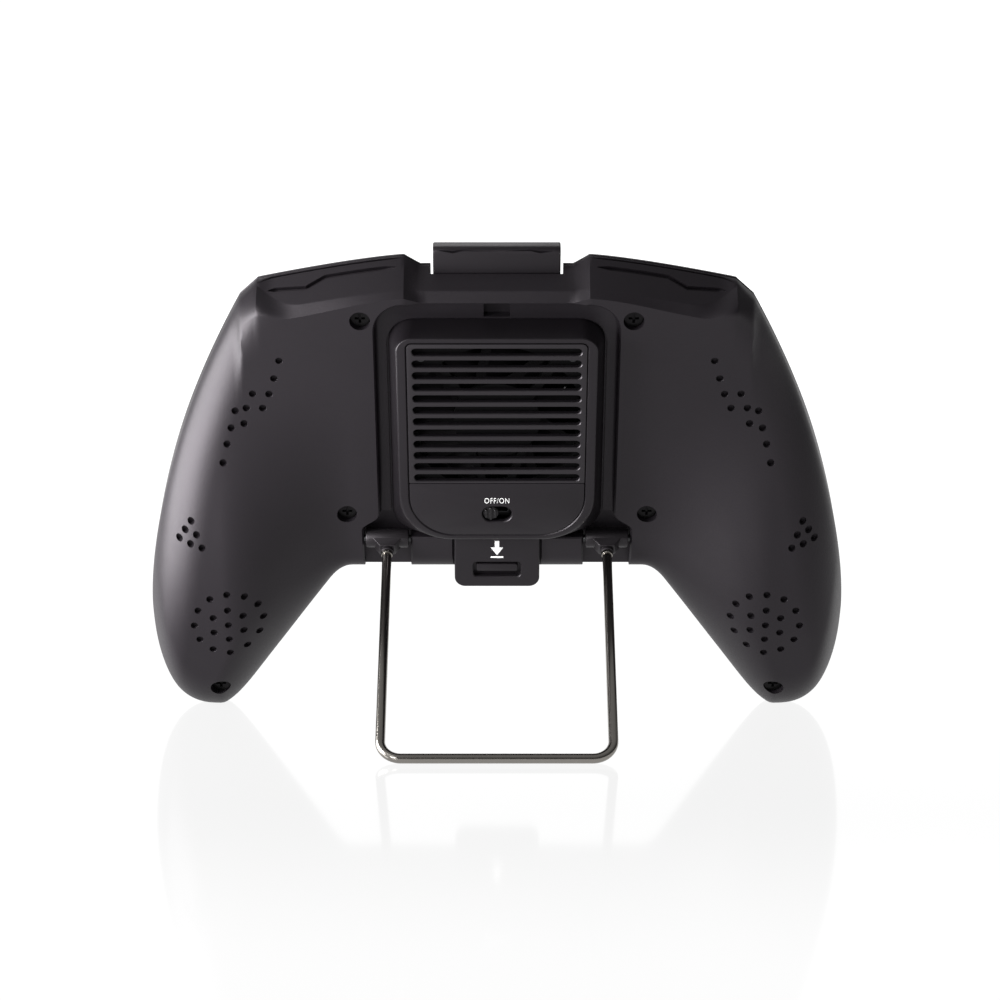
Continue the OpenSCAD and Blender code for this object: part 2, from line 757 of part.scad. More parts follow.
module fan_screws() {
    color("#8d8f94")
        place()
            for (a = [-1, 1], b = [-1, 1]) {
                bar([a * fan_hole, fan_z + b * fan_hole], 3.6, fan_in - 1.1, fan_in);
                bar([a * fan_hole, fan_z + b * fan_hole], fan_screw_d, fan_in - 0.5, panel_in - 0.02);
            }
}

module switch_knob() {
    h = switch_slot_h - 3 * fit_gap;
    r = knob_w / 2 - 0.05;
    color("#26252a")
        place()
            translate([knob_x, 0, switch_z])
                union() {
                    slab(bezel_rise - 2.2, bezel_rise - 0.5)
                        round_slot(knob_w, h, r);
                    slab(bezel_rise - 0.6, bezel_rise - 0.1)
                        intersection() {
                            round_slot(knob_w, h, r);
                            for (k = [-1:1])
                                translate([k * knob_w * 0.3, 0])
                                    square([knob_w * 0.17, h], center = true);
                        }
                    slab(bezel_rise - 3.9, bezel_rise - 2)
                        square([1.2, 1.2], center = true);
                }
}

module switch_body() {
    top = bezel_rise - 2.4;
    color("#b9bcc2")
        place()
            difference() {
                slab(top - 3.2, top)
                    translate([0, switch_z])
                        square([switch_body_w, switch_body_h], center = true);
                slab(top - 1.8, top + 1)
                    translate([0, switch_z])
                        square([knob_travel + 1.2 + 4 * fit_gap, 1.2 + 2 * fit_gap], center = true);
            }
}

module control_board() {
    color("#1f5a38")
        place()
            slab(board_out - board_t, board_out)
                difference() {
                    box_area(-board_half, board_half, bottom_z + wall + 0.6, board_top);
                    for (s = [-1, 1])
                        translate([s * post_x, board_hole_z])
                            circle(d = board_hole_d, $fn = 24);
                }
}

module charging_socket() {
    out = board_out - board_t;
    color("#c3c6cb")
        place()
            difference() {
                slab(out - socket_h, out)
                    box_area(socket_x - socket_w / 2, socket_x + socket_w / 2, bottom_z + socket_set,
                        bottom_z + socket_set + socket_deep);
                slab(out - socket_h + socket_wall, out - socket_wall)
                    box_area(socket_x - socket_w / 2 + socket_wall, socket_x + socket_w / 2 - socket_wall,
                        bottom_z - 1, bottom_z + socket_set + socket_deep - 2 * socket_wall);
            }
}

module battery_cell() {
    color("#5c6068")
        place()
            slab(floor_out + 0.05, floor_out + cell_t)
                translate([-cell_x, cell_z])
                    round_slot(cell_w, cell_h, cell_r);
}

// Sliding plate of a jaw: a yoke with two arms beside the fan's air way
module slide_plate(yoke_a, yoke_b, arm_end) {
    slab(jaw_in, jaw_out)
        union() {
            box_area(-arm_out, arm_out, min(yoke_a, yoke_b), max(yoke_a, yoke_b));
            for (s = [-1, 1])
                box_area(min(s * arm_in, s * arm_out), max(s * arm_in, s * arm_out),
                    min(yoke_a, arm_end), max(yoke_a, arm_end));
        }
}

module upper_jaw() {
    seat = crest_z - 4.9;
    color("#353338")
        place()
            union() {
                slide_plate(yoke_top, yoke_low, upper_arm_end);
                slab(jaw_in, jaw_out)
                    box_area(-neck_half, neck_half, yoke_low, crest_z - 2);
                profile(upper_jaw_w)
                    polygon([[-jaw_out, notch_low], [-jaw_out, crest_z - 0.3], [-jaw_out + 0.3, crest_z],
                        [-jaw_in - 0.4, crest_z], [-jaw_in + 0.6, crest_z - 0.7],
                        [-claw_far + 0.2, seat - 2.7],
                        [-claw_far, seat - claw_rise + 0.5], [-claw_far - 1.2, seat - claw_rise],
                        [-front_out + 0.5, seat], [-jaw_in, seat], [-jaw_in, notch_low]]);
            }
}

module upper_jaw_pad() {
    seat = crest_z - 4.9;
    color("#1a1a1c")
        place()
            profile(upper_jaw_w - 3)
                polygon([[-front_out + 0.5, seat], [-claw_far - 1.2, seat - claw_rise],
                    [-claw_far - 1.2, seat - claw_rise - pad_t], [-front_out + 0.5, seat - pad_t]]);
}

module lower_jaw() {
    seat = lower_seat;
    color("#353338")
        place()
            union() {
                slide_plate(lower_yoke_low, lower_yoke_top, lower_arm_end);
                slab(jaw_in, jaw_out)
                    box_area(-tab_half, tab_half, bridge_top - 1, lower_yoke_top);
                difference() {
                    slab(tab_in, tab_out)
                        round_area(tab_half, tab_low, tab_top, 0.3, 2.4);
                    slab(tab_out - 0.8, tab_out + 1)
                        translate([0, tab_low + grip_up])
                            round_slot(10.6, 4, 0.8);
                }
                slab(tab_out - 1, tab_out - 0.1)
                    translate([0, tab_low + grip_up])
                        round_slot(9, 2.5, 0.6);
                profile(lower_jaw_w - 2 * bridge_in)
                    polygon([[-tab_in - 1, tab_low + bridge_in], [-jaw_in + 0.4, tab_low + bridge_in],
                        [-front_out + 1.4, tab_low + 2 * bridge_in], [-claw_far, seat + 3],
                        [-claw_far, seat + claw_rise - 0.4],
                        [-claw_far - 1.2, seat + claw_rise], [-front_out + 0.5, seat],
                        [-front_out + 0.5, bridge_top], [-tab_in - 1, bridge_top]]);
            }
}

module lower_jaw_pad() {
    seat = lower_seat;
    color("#1a1a1c")
        place()
            profile(lower_jaw_w - 3)
                polygon([[-front_out + 0.5, seat], [-front_out + 0.5, seat + pad_t],
                    [-claw_far - 1.2, seat + claw_rise + pad_t], [-claw_far - 1.2, seat + claw_rise]]);
}

module jaw_guides() {
    color("#3f3d42")
        place()
            for (s = [-1, 1])
                scale([s, 1, 1])
                    union() {
                        slab(floor_out, jaw_out + slide_gap + 1)
                            box_area(arm_out + slide_gap, arm_out + slide_gap + guide_t,
                                guide_low, guide_top);
                        slab(jaw_out + slide_gap, jaw_out + slide_gap + 1)
                            box_area(arm_out - guide_t, arm_out + slide_gap + guide_t, guide_low, guide_top);
                    }
}

module wire_stand() {
    color("#c9ccd1")
        place()
            translate([0, -hinge_out, 0])
                rotate([stand_turn, 0, 0])
                    union() {
                        for (s = [-1, 1]) {
                            translate([s * leg_x, 0, -leg_len + bend_r])
                                cylinder(d = wire_d, h = leg_len - bend_r - barrel_d / 2 + 0.2, $fn = 32);
                            translate([s * (leg_x - bend_r), 0, -leg_len + bend_r])
                                rotate([90, 0, 0])
                                    rotate([0, 0, s > 0 ? -90 : 180])
                                        rotate_extrude(angle = 90, $fn = 64)
                                            translate([bend_r, 0])
                                                circle(d = wire_d, $fn = 32);
                        }
                        translate([-leg_x + bend_r, 0, -leg_len])
                            rotate([0, 90, 0])
                                cylinder(d = wire_d, h = 2 * (leg_x - bend_r), $fn = 32);
                    }
}

module knuckle(side) {
    color("#2b2a2e")
        place()
            translate([side * leg_x, -hinge_out, 0])
                rotate([stand_turn, 0, 0])
                    difference() {
                        union() {
                            translate([-barrel_len / 2, 0, 0])
                                rotate([0, 90, 0])
                                    cylinder(d = barrel_d, h = barrel_len, $fn = 40);
                            // tapered skirt between the barrel and the wire
                            translate([0, skirt_t / 2, 0])
                                rotate([90, 0, 0])
                                    linear_extrude(height = skirt_t)
                                        polygon([[-skirt_half, -0.6], [skirt_half, -0.6],
                                            [ferrule_d / 2, -barrel_d / 2 - 1.5],
                                            [-ferrule_d / 2, -barrel_d / 2 - 1.5]]);
                            translate([0, 0, -barrel_d / 2 - 2.4])
                                cylinder(d = ferrule_d, h = 2, $fn = 40);
                        }
                        translate([-barrel_len / 2 - 1, 0, 0])
                            rotate([0, 90, 0])
                                cylinder(d = pin_d + 2 * run_gap, h = barrel_len + 2, $fn = 32);
                        translate([0, 0, -barrel_d / 2 - 4])
                            cylinder(d = wire_d + 2 * run_gap, h = 4.2 + run_gap, $fn = 32);
                    }
}

module hinge_knuckle_left() {
    knuckle(-1);
}

module hinge_knuckle_right() {
    knuckle(1);
}

module hinge_pins() {
    color("#a9acb1")
        place()
            for (s = [-1, 1])
                translate([s * leg_x - pin_len / 2 + run_gap, -hinge_out, 0])
                    rotate([0, 90, 0])
                        cylinder(d = pin_d, h = pin_len - 2 * run_gap, $fn = 32);
}

module case_screws() {
    color("#1d1c1f")
        place()
            for (p = screw_places()) {
                difference() {
                    bar(p, head_d, head_out(p), head_out(p) + head_t);
                    slab(head_out(p) + head_t - 0.7, head_out(p) + head_t + 1)
                        translate([p[0], p[1]])
                            union() {
                                square([cross_len, cross_w], center = true);
                                square([cross_w, cross_len], center = true);
                            }
                }
                bar(p, screw_d - 0.24, front_out_at(p[0], p[1]) + 1.4, head_out(p) + 0.2);
            }
}

module bed_pads() {
    color("#1a1a1c")
        place()
            for (s = [-1, 1])
                slab(bed_out, front_out)
                    translate([s * bed_x, bed_z])
                        round_slot(bed_w, bed_h, bed_r);
}

rear_shell();
front_shell();
fan_bezel();
fan_grille();
switch_panel();
fan_frame();
fan_rotor();
fan_screws();
switch_knob();
switch_body();
control_board();
charging_socket();
battery_cell();
upper_jaw();
upper_jaw_pad();
lower_jaw();
lower_jaw_pad();
jaw_guides();
wire_stand();
hinge_knuckle_left();
hinge_knuckle_right();
hinge_pins();
case_screws();
bed_pads();
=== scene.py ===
"""Looks of the mobile game controller: smooth shells, moulded details, finishes, floor, light and camera.

Shapes are worked out in the body's own millimetres (x right, out of the back, z up the back from the hinge
line) and moved to the row frame in metres.
"""
import json
import math

import bmesh
import bpy
import numpy as np
from mathutils import Matrix, Vector

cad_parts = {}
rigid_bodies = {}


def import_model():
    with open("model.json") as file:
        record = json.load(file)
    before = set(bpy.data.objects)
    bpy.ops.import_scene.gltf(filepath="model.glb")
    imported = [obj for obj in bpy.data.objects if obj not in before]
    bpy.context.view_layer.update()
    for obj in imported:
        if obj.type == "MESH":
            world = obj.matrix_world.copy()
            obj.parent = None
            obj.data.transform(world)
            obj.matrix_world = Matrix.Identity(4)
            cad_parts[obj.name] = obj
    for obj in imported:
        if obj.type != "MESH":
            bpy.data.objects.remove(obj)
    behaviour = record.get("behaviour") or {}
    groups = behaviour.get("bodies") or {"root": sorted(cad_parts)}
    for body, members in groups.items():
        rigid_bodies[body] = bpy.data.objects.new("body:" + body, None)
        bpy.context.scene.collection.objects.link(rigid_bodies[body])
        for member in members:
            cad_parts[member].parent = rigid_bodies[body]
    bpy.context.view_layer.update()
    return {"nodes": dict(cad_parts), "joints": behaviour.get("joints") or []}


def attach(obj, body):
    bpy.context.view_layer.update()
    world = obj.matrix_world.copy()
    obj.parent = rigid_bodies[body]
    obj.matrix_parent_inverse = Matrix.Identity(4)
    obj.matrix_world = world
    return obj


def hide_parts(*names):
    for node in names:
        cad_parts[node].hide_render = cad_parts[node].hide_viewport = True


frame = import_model()
nodes = frame["nodes"]
joints = {j["name"]: j for j in frame["joints"]}

# Body frame: the lean comes from the slide of the upper jaw, the place from the stand's hinge
up_axis = joints["upper_jaw_slide"]["axis"]
LEAN = math.atan2(-up_axis[1], up_axis[2])
HINGE_OUT = -1.2
hinge_m = joints["stand_fold"]["pos_m"]
MIDDLE_Y = hinge_m[1] * 1000 + HINGE_OUT * math.cos(LEAN)
FLOOR_DROP = hinge_m[2] * 1000 + HINGE_OUT * math.sin(LEAN)
TO_ROW = (Matrix.Translation((0, MIDDLE_Y / 1000, FLOOR_DROP / 1000)) @ Matrix.Rotation(LEAN, 4, "X")
          @ Matrix.Scale(0.001, 4))


def body(x, out, z):
    """A point of the body's own frame: y points away from the back."""
    return (x, -out, z)


# Outline and surfaces of the shells

HALF_W = 77.3
RAMP_X, SHOULDER_X, CORNER_X, SIDE_X = 16.1, 19.5, HALF_W - 26.7, HALF_W - 22.8
TOP_MID, SHOULDER_Z, SHOULDER_FALL, SHOULDER_BEND = 66.2, 68.4, 5.5, 1.28
SIDE_Z, WIDE_Z, SIDE_BEND = SHOULDER_Z - 9.3, -15.5, 0.58
BOTTOM_Z = -8.7
TIP_X, TIP_Z, TIP_ROUND, TIP_SLOPE, TIP_FULL = HALF_W - 14.6, -40.8, 4.0, 1.3, 2.6
CROTCH = 3.0
GRIP_RISE = 15.5
PART_OUT, PART_GRIP_OUT = -8.5, -1.5
FRONT_OUT, FRONT_GRIP_OUT = -11.5, -9.0
WALL = 1.8


def mix(a, b, t):
    return a + (b - a) * t


def unit(t):
    return np.clip(t, 0.0, 1.0)


def ease(a, b, v):
    t = unit((v - a) / (b - a))
    return t * t * (3 - 2 * t)


def soft_min(a, b, k):
    h = unit(0.5 + 0.5 * (b - a) / k)
    return mix(b, a, h) - k * h * (1 - h)


def top_line(x):
    a = np.abs(np.asarray(x, float))
    along = np.maximum((a - SHOULDER_X) / (CORNER_X - SHOULDER_X), 0)
    shoulder = SHOULDER_Z - SHOULDER_FALL * along ** SHOULDER_BEND
    ramp = mix(TOP_MID, SHOULDER_Z, (a - RAMP_X) / (SHOULDER_X - RAMP_X))
    corner = mix(SHOULDER_Z - SHOULDER_FALL, SIDE_Z, (a - CORNER_X) / (SIDE_X - CORNER_X))
    side = WIDE_Z + (SIDE_Z - WIDE_Z) * (1 - unit((a - SIDE_X) / (HALF_W - SIDE_X))) ** SIDE_BEND
    outer = np.where(a <= CORNER_X, shoulder, np.where(a <= SIDE_X, corner, side))
    return np.where(a <= RAMP_X, TOP_MID, np.where(a <= SHOULDER_X, ramp, outer))


def bottom_line(x):
    a = np.abs(np.asarray(x, float))
    s = TIP_SLOPE * (TIP_X - a)
    inner = TIP_Z + np.sqrt(TIP_ROUND ** 2 + s * s) - TIP_ROUND
    t = unit((a - TIP_X) / (HALF_W - TIP_X))
    outer = WIDE_Z + (TIP_Z - WIDE_Z) * (1 - t ** TIP_FULL) ** (1 / TIP_FULL)
    return np.where(a <= TIP_X, soft_min(BOTTOM_Z, inner, CROTCH), outer)


SLOPE_STEP, SLOPE_END = 0.05, HALF_W - 0.06


def slope(line, x):
    a = np.minimum(np.abs(np.asarray(x, float)), SLOPE_END)
    return (line(a + SLOPE_STEP) - line(a - SLOPE_STEP)) / (2 * SLOPE_STEP)


def from_top(x, z):
    return np.maximum(0, top_line(x) - z) / np.sqrt(1 + slope(top_line, x) ** 2)


def from_bottom(x, z):
    return np.maximum(0, z - bottom_line(x)) / np.sqrt(1 + slope(bottom_line, x) ** 2)


def round_over(d, r):
    t = unit(1 - d / r)
    return np.sqrt(np.maximum(0, 1 - t * t))


# Where a grip begins and where it is full, across and up the body
GRIP_X, GRIP_Z = (HALF_W - 43.3, HALF_W - 21.3), (30, -12)
BULGE_X, BULGE_Z = (HALF_W - 45.3, HALF_W - 17.3), (46, -16)
FRONT_X, FRONT_Z = (HALF_W - 41.3, HALF_W - 17.3), (30, -10)


def grip_share(x, z):
    return ease(*GRIP_X, np.abs(x)) * ease(*GRIP_Z, z)


def bulge(x, z):
    return GRIP_RISE * ease(*BULGE_X, np.abs(x)) * ease(*BULGE_Z, z)


# Sloping top faces: drop at the edge, drop behind the middle one, width, and taper towards the corner
RIM_DROP, MID_DROP, FACE_SLOPE = 8.2, 2.5, 1.558
FACE_MID, FACE_WIDE, FACE_END, FACE_FADE, FACE_BEND = 2.85, 4.3, 10.4, 10.9, 2.3
# Foot of the bevel behind them: distance from the edge, how it widens and narrows, its drop
FOOT_MID, FOOT_IN, FOOT_WIDE, FOOT_LESS, FOOT_STEP = 4.85, 5.45, 6.4, 2.0, 1.0
FOOT_WIDENS, FOOT_NARROWS, FOOT_FADES = (22, 42), (CORNER_X - 8, CORNER_X + 1), (1, 6)
BEVEL_ROUNDS = (41, 50)
# Rounding of the back's edges, radius and drop: bottom, side and grips
LOW_R, LOW_DROP, SIDE_R, SIDE_DROP, GRIP_R, GRIP_DROP = 4.5, 4.3, 10.0, 7.0, 15.0, 12.0
SIDE_BLEND = (CORNER_X - 3.6, CORNER_X + 5.4)
FRONT_R, FRONT_GRIP_R = 3.0, 12.0
# Hollow: reach of the test for the nearest skin, step beside the parting line, wall of the front
NEAR, LIP, FRONT_WALL = 0.7 * WALL, 0.6, 1.6


def raised(x):
    """0 over the middle of the top, 1 on the shoulders."""
    return unit((np.abs(x) - RAMP_X) / (SHOULDER_X - RAMP_X))


def face_run(x):
    """Width of the sloping top face, from the top edge to its rear edge."""
    a = np.abs(x)
    shoulder = FACE_WIDE * (1 - unit((a - CORNER_X + FACE_END) / FACE_FADE) ** FACE_BEND)
    return mix(FACE_MID, shoulder, raised(x))


def face_drop(x):
    """Depth of the top face's rear edge."""
    return mix(MID_DROP, RIM_DROP - FACE_SLOPE * face_run(x), raised(x))


def foot_run(x):
    """Distance from the top edge to the foot of the bevel behind the top face."""
    a = np.abs(x)
    shoulder = mix(FOOT_IN, FOOT_WIDE, ease(*FOOT_WIDENS, a)) - FOOT_LESS * ease(*FOOT_NARROWS, a)
    return mix(FOOT_MID, shoulder, raised(x))


def foot_drop(x):
    return mix(FOOT_STEP, 0.0, raised(x))


def top_face(x, z):
    d = top_line(x) - z
    r, f = face_run(x), foot_run(x)
    e, g = face_drop(x), foot_drop(x)
    t = unit((d - r) / (f - r))
    t = mix(t, np.sin(t * math.pi / 2), ease(*BEVEL_ROUNDS, np.abs(x)))
    on_face = mix(RIM_DROP, e, unit(d / np.maximum(r, 1e-4)))
    behind = g * (1 - ease(*FOOT_FADES, d - f))
    return np.where(d < r, on_face, np.where(d < f, mix(e, g, t), behind))


def back_out(x, z):
    g = grip_share(x, z)
    w = ease(*SIDE_BLEND, np.abs(x))
    low = round_over(from_bottom(x, z), mix(LOW_R, GRIP_R, g))
    side = round_over(from_top(x, z), mix(SIDE_R, GRIP_R, g))
    drop = mix(mix(LOW_DROP, SIDE_DROP, w), GRIP_DROP, g)
    return bulge(x, z) - (1 - w) * top_face(x, z) - drop * (1 - mix(1.0, side, w) * low)


def front_share(x, z):
    return ease(*FRONT_X, np.abs(x)) * ease(*FRONT_Z, z)


def parting(x, z):
    return mix(PART_OUT, PART_GRIP_OUT, front_share(x, z))


def front_out(x, z):
    g = front_share(x, z)
    f = mix(FRONT_OUT, FRONT_GRIP_OUT, g)
    r = mix(FRONT_R, FRONT_GRIP_R, g)
    return f + (parting(x, z) - f) * (1 - round_over(from_top(x, z), r) * round_over(from_bottom(x, z), r))


def hollow_top(x):
    return top_line(x) - WALL * np.sqrt(1 + slope(top_line, x) ** 2)


def hollow_bottom(x):
    return bottom_line(x) + WALL * np.sqrt(1 + slope(bottom_line, x) ** 2)


def hollow_back(x, z):
    near = np.minimum(np.minimum(back_out(x, z), back_out(x, z + NEAR)), back_out(x, z - NEAR))
    return np.maximum(parting(x, z) + LIP, near - WALL)


def hollow_front(x, z):
    near = np.maximum(np.maximum(front_out(x, z), front_out(x, z + NEAR)), front_out(x, z - NEAR))
    return np.minimum(parting(x, z) - LIP, near + FRONT_WALL)


# Mesh tools

scratch = bpy.data.collections.new("scratch")
bpy.context.scene.collection.children.link(scratch)


def raw(name, verts, faces):
    mesh = bpy.data.meshes.new(name)
    mesh.from_pydata([tuple(map(float, v)) for v in verts], [], [tuple(map(int, f)) for f in faces])
    bm = bmesh.new()
    bm.from_mesh(mesh)
    bmesh.ops.recalc_face_normals(bm, faces=bm.faces)
    bm.to_mesh(mesh)
    bm.free()
    obj = bpy.data.objects.new(name, mesh)
    scratch.objects.link(obj)
    return obj


def lofted(name, loops):
    """A closed solid over a row of loops with equal numbers of points."""
    n, m = len(loops[0]), len(loops)
    verts = [p for loop in loops for p in loop]
    faces = [(i * n + k, i * n + (k + 1) % n, (i + 1) * n + (k + 1) % n, (i + 1) * n + k)
             for i in range(m - 1) for k in range(n)]
    faces.append(tuple(range(n))[::-1])
    faces.append(tuple((m - 1) * n + k for k in range(n)))
    return raw(name, verts, faces)


def baked(obj):
    dg = bpy.context.evaluated_depsgraph_get()
    mesh = bpy.data.meshes.new_from_object(obj.evaluated_get(dg))
    obj.modifiers.clear()
    obj.data = mesh
    return obj


def combine(obj, others, operation="DIFFERENCE"):
    for other in others:
        mod = obj.modifiers.new("cut", "BOOLEAN")
        mod.operation = operation
        mod.solver = "MANIFOLD"
        mod.object = other
    baked(obj)
    for other in others:
        bpy.data.objects.remove(other)
    return obj


def joined(name, objs):
    """One object from several that don't overlap."""
    verts, faces = [], []
    for o in objs:
        base = len(verts)
        verts += [tuple(v.co) for v in o.data.vertices]
        faces += [tuple(base + i for i in p.vertices) for p in o.data.polygons]
        bpy.data.objects.remove(o)
    return raw(name, verts, faces)


def rounded_box(half, z0, z1, r_top, r_low, inset=0.0, steps=8):
    """Outline of a rectangle in x and z with its own top and bottom corner radius, set in by a distance."""
    half, z0, z1 = half - inset, z0 + inset, z1 - inset
    r_top, r_low = max(r_top - inset, 0.02), max(r_low - inset, 0.02)
    points = []
    for cx, cz, r, start in ((half - r_top, z1 - r_top, r_top, 0), (-half + r_top, z1 - r_top, r_top, 90),
                             (-half + r_low, z0 + r_low, r_low, 180), (half - r_low, z0 + r_low, r_low, 270)):
        for k in range(steps + 1):
            a = math.radians(start + 90 * k / steps)
            points.append((cx + r * math.cos(a), cz + r * math.sin(a)))
    return points


def prism(name, outline, low, high):
    return lofted(name, [[body(x, out, z) for x, z in outline] for out in (low, high)])


def box(name, x0, x1, z0, z1, low, high):
    return prism(name, [(x1, z1), (x0, z1), (x0, z0), (x1, z0)], low, high)


def disc(x, z, r, steps=40):
    turns = [2 * math.pi * k / steps for k in range(steps)]
    return [(x + r * math.cos(t), z + r * math.sin(t)) for t in turns]


def rod(name, x, z, r, low, high, steps=40):
    return prism(name, disc(x, z, r, steps), low, high)


def turned(name, profile, axis_from, axis_to, steps=40):
    """A solid of revolution: profile holds (distance along the axis, radius) pairs."""
    a, b = Vector(axis_from), Vector(axis_to)
    d = (b - a).normalized()
    u = d.orthogonal().normalized()
    v = d.cross(u)
    loops = [[tuple(a + d * s + (u * math.cos(t) + v * math.sin(t)) * r)
              for t in [2 * math.pi * k / steps for k in range(steps)]] for s, r in profile]
    return lofted(name, loops)


def piece(obj, name, ride_on, material, replaces=(), sharp=35):
    """Moves a finished mesh from body millimetres to the row frame and hands it to the frame."""
    obj.name = obj.data.name = name
    obj.data.transform(TO_ROW)
    if obj.name in scratch.objects:
        scratch.objects.unlink(obj)
    bpy.context.scene.collection.objects.link(obj)
    obj.data.materials.clear()
    obj.data.materials.append(material)
    obj.data.polygons.foreach_set("use_smooth", [True] * len(obj.data.polygons))
    obj.data.polygons.foreach_set("material_index", [0] * len(obj.data.polygons))
    obj.data.set_sharp_from_angle(angle=math.radians(sharp))
    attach(obj, ride_on)
    if replaces:
        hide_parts(*replaces)
    return obj


# Finishes

def new_material(name):
    mat = bpy.data.materials.new(name)
    mat.use_nodes = True
    nt = mat.node_tree
    return mat, nt, nt.nodes["Principled BSDF"]


def add(nt, kind, **inputs):
    node = nt.nodes.new(kind)
    for key, value in inputs.items():
        node.inputs[key.replace("_", " ")].default_value = value
    return node


GRAIN_HEIGHT, STREAK_HEIGHT = 0.00006, 0.00003
# Painted shade inside slots: the depth over which it fades in, and the share of sheen left there
PAINTED_SHADE_FADE, PAINTED_SHADE_SHEEN = 0.4, 0.12
PLASTIC_TINT = (1.0, 0.93, 1.0, 1.0)


def plastic(name, colour, rough, grain=2600.0, depth=0.35, spread=0.12, mottle=0.08, specular=0.3, painted_shade_depth=None):
    """Moulded plastic with a fine sparked skin, a little uneven in tone and gloss.

    Below the depth that the last argument gives, such as inside slots, it loses most of its sheen: painted
    shade for the dark inside.
    """
    mat, nt, bsdf = new_material(name)
    co = nt.nodes.new("ShaderNodeTexCoord")
    fine = add(nt, "ShaderNodeTexNoise", Scale=grain, Detail=3.0, Roughness=0.65)
    broad = add(nt, "ShaderNodeTexNoise", Scale=45.0, Detail=4.0, Roughness=0.6)
    for tex in (fine, broad):
        nt.links.new(co.outputs["Object"], tex.inputs["Vector"])
    tone = nt.nodes.new("ShaderNodeValToRGB")
    tone.color_ramp.elements[0].color = (*[c * (1 - mottle) for c in colour], 1)
    tone.color_ramp.elements[1].color = (*[c * (1 + mottle) for c in colour], 1)
    tone.color_ramp.elements[0].position = 0.3
    tone.color_ramp.elements[1].position = 0.7
    nt.links.new(broad.outputs["Fac"], tone.inputs["Fac"])
    nt.links.new(tone.outputs["Color"], bsdf.inputs["Base Color"])
    gloss = add(nt, "ShaderNodeMapRange", To_Min=rough - spread, To_Max=rough + spread)
    nt.links.new(fine.outputs["Fac"], gloss.inputs["Value"])
    nt.links.new(gloss.outputs["Result"], bsdf.inputs["Roughness"])
    bump = add(nt, "ShaderNodeBump", Strength=depth, Distance=GRAIN_HEIGHT)
    nt.links.new(fine.outputs["Fac"], bump.inputs["Height"])
    nt.links.new(bump.outputs["Normal"], bsdf.inputs["Normal"])
    bsdf.inputs["Specular IOR Level"].default_value = specular
    bsdf.inputs["Specular Tint"].default_value = PLASTIC_TINT
    # Painted shade: below the given depth the sheen is cut, so slots look dark inside
    if painted_shade_depth is not None:
        away = (TO_ROW.to_3x3() @ Vector(body(0, 1, 0))).normalized()
        zero = away.dot(TO_ROW.translation)
        height = nt.nodes.new("ShaderNodeVectorMath")
        height.operation = "DOT_PRODUCT"
        height.inputs[1].default_value = away
        nt.links.new(co.outputs["Object"], height.inputs[0])
        sheen = add(nt, "ShaderNodeMapRange", To_Min=PAINTED_SHADE_SHEEN * specular, To_Max=specular,
                    From_Min=zero + (painted_shade_depth - PAINTED_SHADE_FADE) / 1000, From_Max=zero + painted_shade_depth / 1000)
        nt.links.new(height.outputs["Value"], sheen.inputs["Value"])
        nt.links.new(sheen.outputs["Result"], bsdf.inputs["Specular IOR Level"])
    return mat


def metal(name, colour, rough, streak=(900.0, 900.0, 900.0), depth=0.05):
    """Drawn or turned metal with fine streaks."""
    mat, nt, bsdf = new_material(name)
    co = nt.nodes.new("ShaderNodeTexCoord")
    scale = nt.nodes.new("ShaderNodeMapping")
    scale.inputs["Scale"].default_value = streak
    tex = add(nt, "ShaderNodeTexNoise", Scale=1.0, Detail=4.0, Roughness=0.6)
    nt.links.new(co.outputs["Object"], scale.inputs["Vector"])
    nt.links.new(scale.outputs["Vector"], tex.inputs["Vector"])
    tone = nt.nodes.new("ShaderNodeValToRGB")
    tone.color_ramp.elements[0].color = (*[c * 0.9 for c in colour], 1)
    tone.color_ramp.elements[1].color = (*colour, 1)
    nt.links.new(tex.outputs["Fac"], tone.inputs["Fac"])
    nt.links.new(tone.outputs["Color"], bsdf.inputs["Base Color"])
    gloss = add(nt, "ShaderNodeMapRange", To_Min=rough * 0.7, To_Max=rough * 1.3)
    nt.links.new(tex.outputs["Fac"], gloss.inputs["Value"])
    nt.links.new(gloss.outputs["Result"], bsdf.inputs["Roughness"])
    bump = add(nt, "ShaderNodeBump", Strength=depth, Distance=STREAK_HEIGHT)
    nt.links.new(tex.outputs["Fac"], bump.inputs["Height"])
    nt.links.new(bump.outputs["Normal"], bsdf.inputs["Normal"])
    bsdf.inputs["Metallic"].default_value = 1.0
    return mat


SHELL = plastic("shell_plastic", (0.0068, 0.0056, 0.0071), 0.45)
BEZEL = plastic("bezel_plastic", (0.006, 0.005, 0.0062), 0.38, grain=3200.0, depth=0.25)
JAW = plastic("jaw_plastic", (0.006, 0.005, 0.0062), 0.42, depth=0.25)
HINGE = plastic("hinge_plastic", (0.008, 0.007, 0.008), 0.42, depth=0.2)
KNOB = plastic("knob_plastic", (0.006, 0.006, 0.006), 0.4, depth=0.2)
# Fan: its own black plastic, made darker and duller than the rest as painted shade seen through the grille's
# slots
FAN_PAINTED_DARK = plastic("fan_plastic", (0.002, 0.002, 0.0021), 0.45, depth=0.2, specular=0.07)
PAD = plastic("pad_rubber", (0.016, 0.016, 0.016), 0.75, grain=1800.0, depth=0.5)
BOARD = plastic("board_laminate", (0.02, 0.12, 0.05), 0.35, grain=900.0, depth=0.1)
CELL = plastic("cell_wrap", (0.25, 0.26, 0.28), 0.35, grain=700.0, depth=0.1)
PRINT = plastic("white_print", (0.85, 0.85, 0.84), 0.5, grain=4000.0, depth=0.1, mottle=0.03)
WIRE = metal("stand_wire", (0.27, 0.255, 0.235), 0.18, streak=(2500.0, 300.0, 300.0))
STEEL = metal("plain_steel", (0.5, 0.5, 0.5), 0.32)
BLACK_STEEL = metal("black_steel", (0.05, 0.05, 0.052), 0.35)
# Screw heads: black, and duller than steel as painted shade in their counterbores
SCREW_PAINTED_DARK = plastic("screw_black_painted_shade", (0.003, 0.003, 0.003), 0.3, depth=0.1, specular=0.12)

